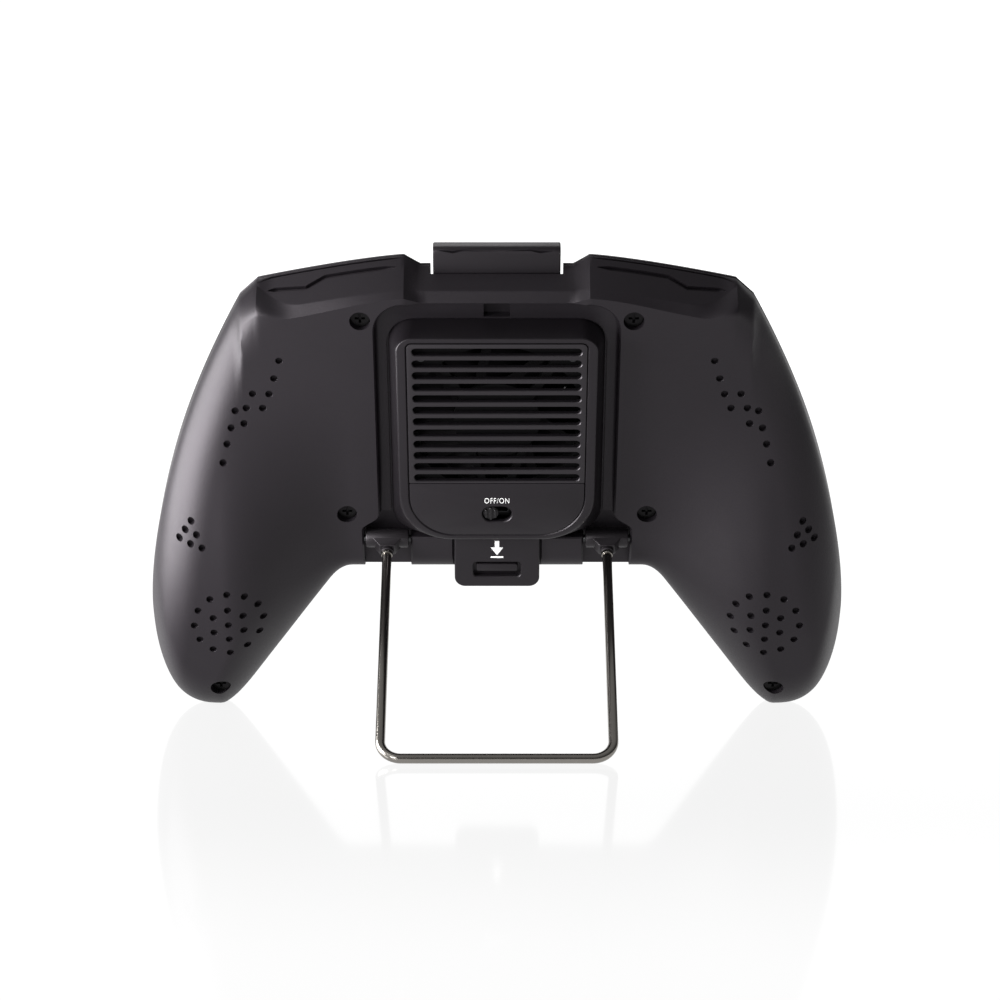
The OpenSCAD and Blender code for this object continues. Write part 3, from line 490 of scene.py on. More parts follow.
# Sizes that the pieces share with the solids
FAN_Z, FAN_HALF = 34.6, 20.0
FIT, SLIDE = 0.2, 0.3
LEG_X, LEG_LEN, WIRE_D, BEND_R = 24.4, 59.9, 2.1, 4.4
GROOVE = WIRE_D + 2 * SLIDE + 0.3
RECESS_HALF, RECESS_OUT = LEG_X + GROOVE / 2, -2.4
RECESS_LOW, RECESS_TOP = 1.0, LEG_LEN + WIRE_D / 2 + SLIDE
RECESS_CORNER, BEZEL_CORNER = BEND_R + 2, BEND_R + 1.1
BEZEL_HALF, BEZEL_RISE, BEZEL_SINK = 23.0, 4.6, 0.55
# How far the bezel's walls lean in from foot to face: sides, bottom and top, and its lower corners at the foot
BEZEL_RUN, BEZEL_RUN_LOW, BEZEL_RUN_TOP, BEZEL_FOOT_CORNER = 1.65, 2.47, 0.57, 6.5
BEZEL_LOW, BEZEL_TOP = RECESS_LOW + FIT, LEG_LEN - WIRE_D / 2 - 2.3
NAIL_HALF, NAIL_LOW, NAIL_OUT = 2.8, BEZEL_TOP + 0.6, RECESS_OUT - 1.8
PANEL_T, PANEL_HALF, PANEL_CORNER = 1.1, 19.0, 1.1
FACE_LOW, FACE_TOP, FACE_SPLIT, FACE_CORNER = 5.15, BEZEL_TOP - 1.95, 19.0, 10.0
PANEL_IN, GAP = BEZEL_RISE - PANEL_T, 0.12
SLOTS, SLOT_PITCH, SLOT_H = 12, 2.92, 1.75
BARREL_D, BARREL_LEN = 4.2, 9.5
POCKET_HALF, POCKET_IN = BARREL_LEN / 2 + 0.45, HINGE_OUT - BARREL_D / 2 - 0.5
TAB_HALF, TAB_OUT, TAB_T, TAB_TOP, TAB_CORNER = 9.5, 0.9, 2.2, 4.6, 2.4
TAB_IN, TAB_LOW = TAB_OUT - TAB_T, BOTTOM_Z - 3.4
JAW_OUT, JAW_IN = -6.6, -9.6
CREST_Z, NOTCH_LOW = TOP_MID + 4.9, TOP_MID - 4.2
NECK_HALF = 13.4
NOTCH_HALF = NECK_HALF + 2 * SLIDE
MOUTH = WALL + 2.4
PIN_D, PIN_LEN = 1.6, 2 * POCKET_HALF + 2.4
SOCKET_X, SOCKET_W, BOARD_BACK = -14.1, 7.4, -6.0
SWITCH_Z, SWITCH_W, SWITCH_H, KNOB_W, KNOB_X = 10.7, 6.5, 4.0, 3.4, -1.35
SCREW_SPOTS = [(RECESS_HALF + 2.9, RECESS_TOP - 3.8), (LEG_X + POCKET_HALF + 3.5, 7.5),
               (HALF_W - 15.2, -30.0)]
SCREWS = [(s * x, z) for s in (-1, 1) for x, z in SCREW_SPOTS]
BOSS_R, SINK_R, BORE_R, THREAD_R, HEAD_H = 3.2, 2.2, 1.3, 1.0, 2.6
POSTS = [(s * 14.0, z) for s in (-1, 1) for z in (-1.5, 10.5)]
POST_R, POST_IN = 1.8, -4.8
PIN_R = PIN_D / 2 + 0.05
FOOT_GAP, FOOT_GAP_DEPTH, COVE_R = 0.45, 0.6, 0.9
SWITCH_ROOM = (-6, 6, 7.5, 13.5)
FAN_ROOM = (-FAN_HALF - FIT, FAN_HALF + FIT, FAN_Z - FAN_HALF - FIT, FAN_Z + FAN_HALF + FIT)
TAB_ROOM = TAB_HALF + SLIDE
POCKET_FLOOR, FLANK_LOW, FLANK_HIGH = 1.3, 3.1, 6.8
OUTLET_R, OUTLET_PITCH, OUTLET_H, OUTLET_ROWS = 15.0, 3.2, 1.0, 4
# Limits of cutters that run out of the shells: far in front, behind, above and below
FAR_IN, FAR_OUT, ABOVE, BELOW = -30, 30, SHOULDER_Z + 4, BOTTOM_Z - 4
# Depths of cutters through the back's wall, and the outer end of blocks that thicken it
THROUGH, BLOCK_OUT = (-12, 8), 3
ARM_IN, ARM_OUT, YOKE_H = 19.5, 23.5, 4.5
UPPER_YOKE = NOTCH_LOW - 8.0
LOWER_YOKE = BOTTOM_Z + 9.0 + 5.7
CLAW_FAR = FRONT_OUT - 10.6
CLAW_RISE = 4.6
LOWER_SEAT, BRIDGE_TOP = BOTTOM_Z + 1.7, BOTTOM_Z - 0.5
SEAM, SEAM_DEPTH, SEAM_FRONT = 0.25, 0.5, 0.5

# Dimples of one grip, as distance in from the side and height
UPPER_DOTS = [(31.1, 47.6), (29.8, 43.2), (28.6, 39.4), (25.1, 39.5), (27.1, 36.1), (23.6, 36.2),
              (21.2, 35.6), (23.0, 32.7), (20.2, 31.8), (19.2, 28.3), (18.2, 24.3)]
SIDE_DOTS = [(10.8 - 1.37 * i + 2.5 * k, 11.7 - 2.05 * i - 0.68 * k) for i in range(3) for k in range(i + 1)]
PALM_IN, PALM_Z, RING = 18.1, -11.8, 3.75
PALM_DOTS = [(PALM_IN, PALM_Z)]
for count, step in ((6, 1), (12, 2)):
    turns = [2 * math.pi * i / count for i in range(count)]
    PALM_DOTS += [(PALM_IN + step * RING * math.sin(t), PALM_Z + step * RING * math.cos(t)) for t in turns]
DOT_R, DOT_DEPTH = 0.8, 1.0
DOT_RIM = [(0, 0.78), (0.18, 0.8), (0.26, 0.88), (0.34, 1.06), (0.5, 1.3)]

# Lines engraved in the shoulders' top face, as x and distance below the top edge, with half width and depth
ZIGZAG, ZIGZAG_CUT = [(48.2, 1.74), (40.1, 2.32), (36.1, 1.33), (21.1, 1.28)], (0.34, 0.95)
EDGE_LINE, EDGE_CUT = [(50.2, 0.2), (35.0, 0.19), (20.0, 0.18)], (0.12, 0.6)

# Grille: its slots' walls lose most of their sheen, a painted shade inside the slots
GRILLE = plastic("grille_plastic", (0.007, 0.006, 0.0072), 0.38, grain=3200.0, depth=0.25, specular=0.4,
                 painted_shade_depth=BEZEL_RISE - 0.15)


# Shells

def clustered(a, b, n):
    return [mix(a, b, (1 - math.cos(math.pi * k / n)) / 2) for k in range(n + 1)]


def fine_stations():
    half = [0.0]
    for end, count in ((RAMP_X, 12), (SHOULDER_X, 6), (CORNER_X, 44), (SIDE_X, 10)):
        half += list(np.linspace(half[-1], end, count))[1:]
    count = 54
    half += [mix(HALF_W - 0.003, SIDE_X, (1 - k / count) ** 2) for k in range(1, count + 1)]
    return [-x for x in half[:0:-1]] + half


def seam_inset(x):
    """How far the shells' rims step in at the parting line, at the bottom and at the top edge."""
    a, b = float(bottom_line(x)), float(top_line(x))
    most = 0.25 * (b - a)
    return (min(SEAM_DEPTH * math.sqrt(1 + float(slope(bottom_line, x)) ** 2), most),
            min(SEAM_DEPTH * math.sqrt(1 + float(slope(top_line, x)) ** 2), most))


def back_rows(x):
    """Heights for one station: close rows at the bottom edge and along the creases of the top face."""
    a, b = float(bottom_line(x)), float(top_line(x))
    r, f = float(face_run(x)), float(foot_run(x))
    marks = [0, 0.12, 0.3, r * 0.4, r * 0.75, r - 0.12, r, r + 0.12]
    marks += [mix(r, f, 0.25), mix(r, f, 0.5), mix(r, f, 0.75)]
    marks += [f - 0.12, f, f + 0.12, f + 0.5, f + 1.0, f + 1.6, f + 2.4, f + 3.4]
    limit = min(marks[-1], 0.4 * (b - a))
    depths = []
    for m in marks:
        depths.append(max(m * limit / marks[-1], depths[-1] + 0.004 if depths else 0.0))
    low_end = b - depths[-1]
    n = 84
    low_rows = [a + (low_end - a) * (1 - math.cos(math.pi / 2 * k / n)) for k in range(n)]
    return low_rows + [b - d for d in depths[::-1]]


def rear_blank():
    loops = []
    for x in fine_stations():
        z = np.array(back_rows(x))
        outs = back_out(np.full_like(z, x), z)
        a, b = z[0], z[-1]
        pa, pb = float(parting(x, a)), float(parting(x, b))
        ia, ib = seam_inset(x)
        loops.append([body(x, o, h) for o, h in zip(outs, z)]
                     + [body(x, pb + SEAM, b), body(x, pb + 0.01, b - ib)]
                     + [body(x, pa + 0.01, a + ia), body(x, pa + SEAM, a)])
    return lofted("rear", loops)


def front_blank():
    loops = []
    for x in fine_stations():
        a, b = float(bottom_line(x)), float(top_line(x))
        ia, ib = seam_inset(x)
        z = np.array(clustered(a, b, 60))
        outs = front_out(np.full_like(z, x), z)
        inner = [body(x, o, h) for o, h in zip(outs, z)][1:-1]
        loops.append([body(x, outs[0] - 0.01, a + ia), body(x, outs[0] - SEAM_FRONT, a)] + inner
                     + [body(x, outs[-1] - SEAM_FRONT, b), body(x, outs[-1] - 0.01, b - ib)])
    return lofted("front", loops)


def hollow_blank():
    half = [0] + [mix(RAMP_X, SIDE_X - 6.5, i / 6) for i in range(7)]
    half += [mix(HALF_W - WALL - 0.6, SIDE_X - 1.5, (1 - k / 6) ** 1.6) for k in range(7)]
    loops = []
    for x in [-v for v in half[:0:-1]] + half:
        z = np.array(clustered(float(hollow_bottom(x)), float(hollow_top(x)), 12))
        xs = np.full_like(z, x)
        loops.append([body(x, o, h) for o, h in zip(hollow_back(xs, z), z)]
                     + [body(x, o, h) for o, h in zip(hollow_front(xs, z)[::-1], z[::-1])])
    return lofted("hollow", loops)


def out_at(x, z):
    return float(back_out(np.array([float(x)]), np.array([float(z)]))[0])


def head_out(x, z):
    return min(out_at(x, z), out_at(x, z - 2), out_at(x, z + 2)) - HEAD_H


def pocket_outline(s, grow=0.0):
    """A hinge pocket whose flanks run up into the stand's groove in an S."""
    half, g = POCKET_HALF + grow, GROOVE / 2 + grow
    rise = []
    steps = 8
    for k in range(steps + 1):
        t = k / steps
        rise.append((mix(half, g, t * t * (3 - 2 * t)), mix(FLANK_LOW, FLANK_HIGH, t)))
    pts = [(LEG_X - half, BOTTOM_Z - 2), (LEG_X + half, BOTTOM_Z - 2)]
    pts += [(LEG_X + w, z) for w, z in rise] + [(LEG_X - w, z) for w, z in rise[::-1]]
    return [(s * x, z) for x, z in pts]


def layered(name, outline, layers):
    """A solid over one outline whose inset changes with depth: layers holds (out, inset) pairs."""
    return lofted(name, [[body(x, o, z) for x, z in outline(i)] for o, i in layers])


def soft_rim(low, top, r, high=8.0):
    """Layers of a cutter whose upper rim flares, so the edge it leaves is rounded."""
    steps = 4
    curve = [r * math.cos(math.pi / 2 * k / steps) for k in range(1, steps + 1)]
    return [(low, 0.0), (top - r, 0.0)] + [(top - c, c - r) for c in curve] + [(high, -r)]


def dot_cutters():
    """The dimples' bores and their countersunk rims, in turn."""
    made = []
    for s in (-1, 1):
        for inset, z in UPPER_DOTS + SIDE_DOTS + PALM_DOTS:
            x = HALF_W - inset
            o = out_at(x, z)
            nx = out_at(x + 0.1, z) - out_at(x - 0.1, z)
            nz = out_at(x, z + 0.1) - out_at(x, z - 0.1)
            n = Vector((-s * nx / 0.2, -1, -nz / 0.2)).normalized()
            made.append(rod("dot", s * x, z, DOT_R, o - DOT_DEPTH, o + 3.0, 20))
            c = Vector(body(s * x, o, z))
            made.append(turned("dot_rim", DOT_RIM, tuple(c - n * 0.2), tuple(c + n), 20))
    return made


def zigzag_cutter(s, line, wide, deep):
    """A thin bar that follows an engraved line on the shoulder's top face."""
    points = []
    for (x0, d0), (x1, d1) in zip(line, line[1:]):
        n = 12
        points += [(mix(x0, x1, k / n), mix(d0, d1, k / n)) for k in range(n)]
    points.append(line[-1])

    def at(x, d):
        z = float(top_line(x)) - d
        return Vector(body(s * x, out_at(x, z), z))
    loops = []
    for k, (x, d) in enumerate(points):
        c = at(x, d)
        along = (at(*points[min(k + 1, len(points) - 1)]) - at(*points[max(k - 1, 0)])).normalized()
        across = (at(x, d + 0.05) - at(x, d - 0.05)).normalized()
        n = along.cross(across).normalized()
        if n.y > 0:
            n.negate()
        across = n.cross(along).normalized()
        taper = 0.25 + 0.75 * min(1, min(k, len(points) - 1 - k) / 2)
        w, depth = wide * taper, deep * taper
        loops.append([tuple(c + across * w * 1.6 + n * 0.3), tuple(c + across * w - n * depth),
                      tuple(c - across * w - n * depth), tuple(c - across * w * 1.6 + n * 0.3)])
    return lofted("zigzag", loops)


def build_rear():
    rear = rear_blank()
    hollow = hollow_blank()
    wide = RECESS_HALF + WALL
    blocks = [box("b", -wide, wide, RECESS_LOW - WALL, RECESS_TOP + WALL, RECESS_OUT - POCKET_FLOOR, BLOCK_OUT)]
    wide, low = TAB_ROOM + WALL, BOTTOM_Z - 3
    blocks.append(box("b", -wide, wide, low, TAB_TOP + 3, TAB_IN - SLIDE - POCKET_FLOOR, BLOCK_OUT))
    wide = POCKET_HALF + WALL
    for x in (-LEG_X, LEG_X):
        blocks.append(box("b", x - wide, x + wide, low, 10, POCKET_IN - POCKET_FLOOR, BLOCK_OUT))
    wide = NAIL_HALF + WALL
    blocks.append(box("b", -wide, wide, NAIL_LOW - 1, RECESS_TOP + WALL, NAIL_OUT - 1, BLOCK_OUT))
    bosses = [rod("b", x, z, BOSS_R, float(parting(x, z)) - 0.02, FAR_OUT) for x, z in SCREWS]
    blocks.append(joined("b", bosses))
    blocks.append(joined("b", [rod("b", x, z, POST_R, POST_IN, 0) for x, z in POSTS]))
    combine(hollow, blocks)
    cutters = [hollow]

    def seat_outline(i):
        low, top = RECESS_LOW + min(i, 0), RECESS_TOP - i
        return rounded_box(RECESS_HALF - i, low, top, RECESS_CORNER - i, 1, 0.0, 12)

    def tab_outline(i):
        return rounded_box(TAB_ROOM, BELOW, TAB_TOP + FIT, 0.3, 0.3, i, 4)
    turns = [math.radians(18 * k) for k in range(5)]
    cove = [(RECESS_OUT + COVE_R * (1 - math.cos(t)), COVE_R * (1 - math.sin(t))) for t in turns]
    cutters.append(layered("seat", seat_outline, cove + soft_rim(RECESS_OUT + COVE_R, 0.0, 0.3)))
    cutters.append(layered("foot_gap", bezel_outline, [(RECESS_OUT - FOOT_GAP_DEPTH, -FOOT_GAP),
                                                       (RECESS_OUT + 0.2, -FOOT_GAP)]))
    cutters.append(box("nail", -NAIL_HALF, NAIL_HALF, NAIL_LOW, RECESS_TOP - 0.01, NAIL_OUT, RECESS_OUT + 1))
    cutters.append(joined("pockets", [layered("pocket", lambda i, s=s: pocket_outline(s, -i),
                                              soft_rim(POCKET_IN, 0.0, 0.4)) for s in (-1, 1)]))
    pins = [turned("pin", [(0, PIN_R), (PIN_LEN, PIN_R)], body(s * LEG_X - PIN_LEN / 2, HINGE_OUT, 0),
                   body(s * LEG_X + PIN_LEN / 2, HINGE_OUT, 0), 24) for s in (-1, 1)]
    cutters.append(joined("pins", pins))
    cutters.append(box("fan", *FAN_ROOM, *THROUGH))
    cutters.append(box("switch", *SWITCH_ROOM, *THROUGH))
    cutters.append(layered("tab", tab_outline, soft_rim(TAB_IN - SLIDE, 0.0, 0.2)))
    jaw_out = JAW_OUT + SLIDE
    cutters.append(box("notch", -NOTCH_HALF, NOTCH_HALF, NOTCH_LOW, ABOVE, FAR_IN, jaw_out))
    cutters.append(box("mouth", -TAB_ROOM, TAB_ROOM, BELOW, BOTTOM_Z + MOUTH, FAR_IN, jaw_out))
    cutters.append(box("socket", SOCKET_X - SOCKET_W / 2 - FIT, SOCKET_X + SOCKET_W / 2 + FIT, BELOW,
                       BOTTOM_Z + MOUTH, FAR_IN, BOARD_BACK + FIT))
    cutters.append(joined("sinks", [rod("s", x, z, SINK_R, head_out(x, z), FAR_OUT) for x, z in SCREWS]))
    cutters.append(joined("bores", [rod("s", x, z, BORE_R, THROUGH[0], FAR_OUT, 24) for x, z in SCREWS]))
    dots = dot_cutters()
    cutters.append(joined("dots", dots[0::2]))
    cutters.append(joined("dot_rims", dots[1::2]))
    cutters.append(joined("zigzags", [zigzag_cutter(s, ZIGZAG, *ZIGZAG_CUT) for s in (-1, 1)]))
    cutters.append(joined("edge_lines", [zigzag_cutter(s, EDGE_LINE, *EDGE_CUT) for s in (-1, 1)]))
    combine(rear, cutters)
    return piece(rear, "rear_shell_skin", "controller_body", SHELL, ["rear_shell"], 32)


def build_front():
    front = front_blank()
    hollow = hollow_blank()
    bosses = [rod("b", x, z, BOSS_R, FAR_IN, float(parting(x, z)) + 0.02) for x, z in SCREWS]
    combine(hollow, [joined("b", bosses)])
    slots = []
    for k in range(-OUTLET_ROWS, OUTLET_ROWS + 1):
        z, half = FAN_Z + OUTLET_PITCH * k, math.sqrt(OUTLET_R ** 2 - (OUTLET_PITCH * k) ** 2)
        slots.append(box("slot", -half, half, z - OUTLET_H / 2, z + OUTLET_H / 2, FAR_IN, -4))
    bores = [rod("s", x, z, THREAD_R, float(front_out(x, z)) + 1, FAR_OUT, 24) for x, z in SCREWS]
    cutters = [hollow, joined("outlet", slots),
               box("notch", -NOTCH_HALF, NOTCH_HALF, NOTCH_LOW, ABOVE, FAR_IN, 4),
               box("mouth", -TAB_ROOM, TAB_ROOM, BELOW, BOTTOM_Z + MOUTH, FRONT_OUT + FRONT_WALL, 4),
               joined("bores", bores)]
    combine(front, cutters)
    return piece(front, "front_shell_skin", "controller_body", SHELL, ["front_shell"], 32)


# Bezel, grille and switch

def bezel_outline(i):
    """The bezel's outline, from its foot (0) to its face (BEZEL_RUN), where the lower corners are rounder."""
    t = i / BEZEL_RUN
    low, top = BEZEL_LOW + BEZEL_RUN_LOW * t, BEZEL_TOP - BEZEL_RUN_TOP * t
    low_corner = mix(BEZEL_FOOT_CORNER, FACE_CORNER + 1.3, t)
    return rounded_box(BEZEL_HALF - i, low, top, BEZEL_CORNER - 2.0 * t, low_corner, 0.0, 14)


def panel_outline(i):
    return rounded_box(PANEL_HALF, FACE_LOW, FACE_TOP, PANEL_CORNER, FACE_CORNER, i, 14)


def stadium(w, h, cx, cz, i=0.0, steps=8):
    w, h = w - 2 * i, h - 2 * i
    r = h / 2
    pts = []
    for cx2, start in ((w / 2 - r, -90), (-w / 2 + r, 90)):
        for k in range(steps + 1):
            a = math.radians(start + 180 * k / steps)
            pts.append((cx + cx2 + r * math.cos(a), cz + r * math.sin(a)))
    return pts


def plate_layers(low, top, r=0.12):
    return [(low, 0.0), (top - r, 0.0), (top - 0.3 * r, 0.3 * r), (top, r)]


def build_bezel():
    r = 0.55
    turns = [math.radians(12 + 78 * k / 6) for k in range(7)]
    edge = [(BEZEL_RISE - r * (1 - math.sin(t)), BEZEL_RUN + r * (1 - math.cos(t))) for t in turns]
    foot = [(RECESS_OUT - BEZEL_SINK, 0.0), (RECESS_OUT + 0.02, 0.0)]
    bezel = layered("bezel", bezel_outline, foot + edge)
    cutters = [layered("opening", lambda i: panel_outline(i - GAP), soft_rim(PANEL_IN, BEZEL_RISE, 0.25)),
               box("fan", *FAN_ROOM, -8, PANEL_IN + 0.01),
               box("switch", *SWITCH_ROOM, -8, PANEL_IN + 0.01),
               box("tab", -TAB_ROOM, TAB_ROOM, 0, TAB_TOP + FIT, -8, TAB_OUT + SLIDE)]
    combine(bezel, cutters)
    piece(bezel, "fan_bezel_body", "controller_body", BEZEL, ["fan_bezel"], 40)


def build_panels():
    first = (FACE_SPLIT + FACE_TOP) / 2 - 0.25 - SLOT_PITCH * (SLOTS - 1) / 2
    slot_w = 2 * PANEL_HALF - 2.2

    def grille_outline(i):
        return rounded_box(PANEL_HALF, FACE_SPLIT + GAP / 2, FACE_TOP, PANEL_CORNER, 0.1, i, 8)

    def switch_outline(i):
        return rounded_box(PANEL_HALF, FACE_LOW, FACE_SPLIT - GAP / 2, 0.3, FACE_CORNER, i, 14)
    grille = layered("grille", grille_outline, plate_layers(PANEL_IN, BEZEL_RISE))
    slots = [layered("slot", lambda i, k=k: stadium(slot_w, SLOT_H, 0, first + SLOT_PITCH * k, i),
                     soft_rim(PANEL_IN - 1, BEZEL_RISE, 0.15)) for k in range(SLOTS)]
    combine(grille, [joined("slots", slots)])
    piece(grille, "fan_grille_plate", "controller_body", GRILLE, ["fan_grille"], 40)
    panel = layered("panel", switch_outline, plate_layers(PANEL_IN, BEZEL_RISE, 0.2))
    hole = layered("hole", lambda i: stadium(SWITCH_W, SWITCH_H, 0, SWITCH_Z, i, 12),
                   soft_rim(PANEL_IN - 1, BEZEL_RISE, 0.2))
    combine(panel, [hole])
    piece(panel, "switch_panel_plate", "controller_body", BEZEL, ["switch_panel"], 40)


def build_knob():
    h = SWITCH_H - 3 * FIT
    r = KNOB_W / 2 - 0.05
    base = layered("knob", lambda i: rounded_box(KNOB_W / 2, -h / 2, h / 2, r, r, i, 10),
                   [(BEZEL_RISE - 2.2, 0.0), (BEZEL_RISE - 0.7, 0.0), (BEZEL_RISE - 0.55, 0.08),
                    (BEZEL_RISE - 0.5, 0.3)])
    ribs = []
    for k in (-1, 0, 1):
        tall = h / 2 - (0.6 if k else 0.05)
        rib = layered("rib", lambda i: rounded_box(KNOB_W * 0.09, -tall, tall, 0.25, 0.25, i, 4),
                      [(BEZEL_RISE - 0.8, 0.0), (BEZEL_RISE - 0.2, 0.02), (BEZEL_RISE - 0.1, 0.12)])
        rib.data.transform(Matrix.Translation((k * KNOB_W * 0.29, 0, 0)))
        ribs.append(rib)
    stem = box("stem", -0.6, 0.6, -0.6, 0.6, BEZEL_RISE - 3.9, BEZEL_RISE - 2)
    combine(base, ribs + [stem], "UNION")
    base.data.transform(Matrix.Translation((KNOB_X, 0, SWITCH_Z)))
    piece(base, "switch_knob_cap", "knob", KNOB, ["switch_knob"], 40)


# Jaws

def profile_prism(name, points, half):
    """A prism across the body on an outline given as out and height."""
    return lofted(name, [[body(x, o, z) for o, z in points] for x in (-half, half)])


def softened(obj, width, segments=3, angle=30):
    bevel = obj.modifiers.new("edge", "BEVEL")
    bevel.width = width
    bevel.segments = segments
    bevel.limit_method = "ANGLE"
    bevel.angle_limit = math.radians(angle)
    return baked(obj)


def slide_boxes(yoke_a, yoke_b, arm_end):
    """A jaw's slide plate: a yoke across the body and two arms beside the fan."""
    made = [box("yoke", -ARM_OUT, ARM_OUT, min(yoke_a, yoke_b), max(yoke_a, yoke_b), JAW_IN, JAW_OUT)]
    low, high = min(yoke_a, arm_end), max(yoke_a, arm_end)
    for x0, x1 in ((-ARM_OUT, -ARM_IN), (ARM_IN, ARM_OUT)):
        made.append(box("arm", x0, x1, low, high, JAW_IN, JAW_OUT))
    return made


def line_cutter(points, out, w=0.25, depth=0.6):
    """A thin V groove along a line in x and z on a face of constant depth."""
    loops = []
    for k, (x, z) in enumerate(points):
        taper = 0.3 if k in (0, len(points) - 1) else 1.0
        loops.append([body(x, out + 0.3, z + w * 1.4), body(x, out - depth * taper, z + w * 0.5 * taper),
                      body(x, out - depth * taper, z - w * 0.5 * taper), body(x, out + 0.3, z - w * 1.4)])
    return lofted("line", loops)


def build_upper_jaw():
    seat = CREST_Z - 4.9
    r = 1.3
    turns = [math.radians(15 * k) for k in range(7)]
    rim = [(JAW_OUT, NOTCH_LOW)]
    rim += [(JAW_OUT - r + r * math.cos(t), CREST_Z - r + r * math.sin(t)) for t in turns]
    rim += [(JAW_IN + 0.4, CREST_Z), (JAW_IN - 0.3, CREST_Z - 0.25), (CLAW_FAR, seat - 2.9),
            (CLAW_FAR, seat - CLAW_RISE + 0.5), (CLAW_FAR + 1.2, seat - CLAW_RISE),
            (FRONT_OUT - 0.5, seat), (JAW_IN, seat), (JAW_IN, NOTCH_LOW)]
    jaw = softened(profile_prism("jaw", rim, NECK_HALF), 0.3)
    slider = slide_boxes(UPPER_YOKE, UPPER_YOKE - YOKE_H, FAN_Z + 0.4)
    neck = NECK_HALF - 0.3
    slider.append(box("neck", -neck, neck, UPPER_YOKE - YOKE_H, CREST_Z - 2, JAW_IN, JAW_OUT - 0.02))
    combine(jaw, slider, "UNION")
    left = [(-13.2, CREST_Z - 0.35), (-9.2, CREST_Z - 0.8), (-7.0, CREST_Z - 0.4), (-1.3, CREST_Z - 0.6)]
    combine(jaw, [line_cutter(pts, JAW_OUT) for pts in (left, [(-x, z) for x, z in left[::-1]])])
    piece(jaw, "upper_jaw_body", "top_jaw", JAW, ["upper_jaw"], 35)


def build_lower_jaw():
    rim = [(TAB_IN + 1, TAB_LOW + 0.8), (JAW_IN - 0.4, TAB_LOW + 0.8), (FRONT_OUT - 1.4, TAB_LOW + 1.6),
           (CLAW_FAR, LOWER_SEAT + 3), (CLAW_FAR, LOWER_SEAT + CLAW_RISE - 0.4),
           (CLAW_FAR + 1.2, LOWER_SEAT + CLAW_RISE), (FRONT_OUT - 0.5, LOWER_SEAT),
           (FRONT_OUT - 0.5, BRIDGE_TOP), (TAB_IN + 1, BRIDGE_TOP)]
    jaw = softened(profile_prism("jaw", rim, TAB_HALF - 0.8), 0.3)
    slider = slide_boxes(LOWER_YOKE, LOWER_YOKE + YOKE_H, FAN_Z - 3.6)
    neck = TAB_HALF - 0.3
    slider.append(box("neck", -neck, neck, BRIDGE_TOP - 1, LOWER_YOKE + YOKE_H, JAW_IN, JAW_OUT))
    combine(jaw, slider, "UNION")
    r = 0.45
    turns = [math.radians(90 * k / 5) for k in range(6)]
    edge = [(TAB_OUT - r * (1 - math.sin(t)), r * (1 - math.cos(t))) for t in turns]
    tab = layered("tab", lambda i: rounded_box(TAB_HALF, TAB_LOW, TAB_TOP, 0.5, TAB_CORNER, i, 10),
                  [(TAB_IN, 0.3), (TAB_IN + 0.3, 0.0)] + edge)
    grip_z = TAB_LOW + 4.9
    recess = layered("recess", lambda i: rounded_box(5.3, grip_z - 2, grip_z + 2, 0.8, 0.8, i, 6),
                     soft_rim(TAB_OUT - 1.4, TAB_OUT, 0.2))
    combine(tab, [recess])
    bar = layered("bar", lambda i: rounded_box(4.6, grip_z - 0.6, grip_z + 1.4, 0.5, 0.5, i, 6),
                  [(TAB_OUT - 1.6, 0.0), (TAB_OUT - 0.4, 0.0), (TAB_OUT - 0.2, 0.1), (TAB_OUT - 0.1, 0.35)])
    combine(jaw, [tab, bar], "UNION")
    piece(jaw, "lower_jaw_body", "bottom_jaw", JAW, ["lower_jaw"], 35)


# Stand

LEG_SLOPE = math.asin((hinge_m[2] * 1000 - WIRE_D / 2) / LEG_LEN)
STAND_TURN = -(math.pi / 2 - LEG_SLOPE + LEAN)
STAND = Matrix.Translation(body(0, HINGE_OUT, 0)) @ Matrix.Rotation(STAND_TURN, 4, "X")


def build_wire():
    path = [(-LEG_X, -BARREL_D / 2 + 0.2)]
    steps = 12
    for k in range(steps + 1):
        a = math.pi / 2 * k / steps
        path.append((-LEG_X + BEND_R * (1 - math.cos(a)), -LEG_LEN + BEND_R * (1 - math.sin(a))))
    path += [(-x, z) for x, z in path[::-1]]
    sides = 28
    ring = [(WIRE_D / 2 * math.cos(t), WIRE_D / 2 * math.sin(t))
            for t in [2 * math.pi * i / sides for i in range(sides)]]
    loops = []
    for k, (x, z) in enumerate(path):
        x0, z0 = path[max(k - 1, 0)]
        x1, z1 = path[min(k + 1, len(path) - 1)]
        d = Vector((x1 - x0, 0, z1 - z0)).normalized()
        across = Vector((-d.z, 0, d.x))
        loops.append([tuple(Vector((x, v, z)) + across * u) for u, v in ring])
    wire = lofted("wire", loops)
    collar = [(4.2, 1.06), (4.25, 1.28), (4.4, 1.33), (4.9, 1.33), (5.1, 1.24), (5.15, 1.06)]
    ferrules = [turned("ferrule", collar, (s * LEG_X, 0, 0), (s * LEG_X, 0, -1), 32) for s in (-1, 1)]
    combine(wire, ferrules, "UNION")
    wire.data.transform(STAND)
    piece(wire, "wire_stand_loop", "stand", WIRE, ["wire_stand"], 30)


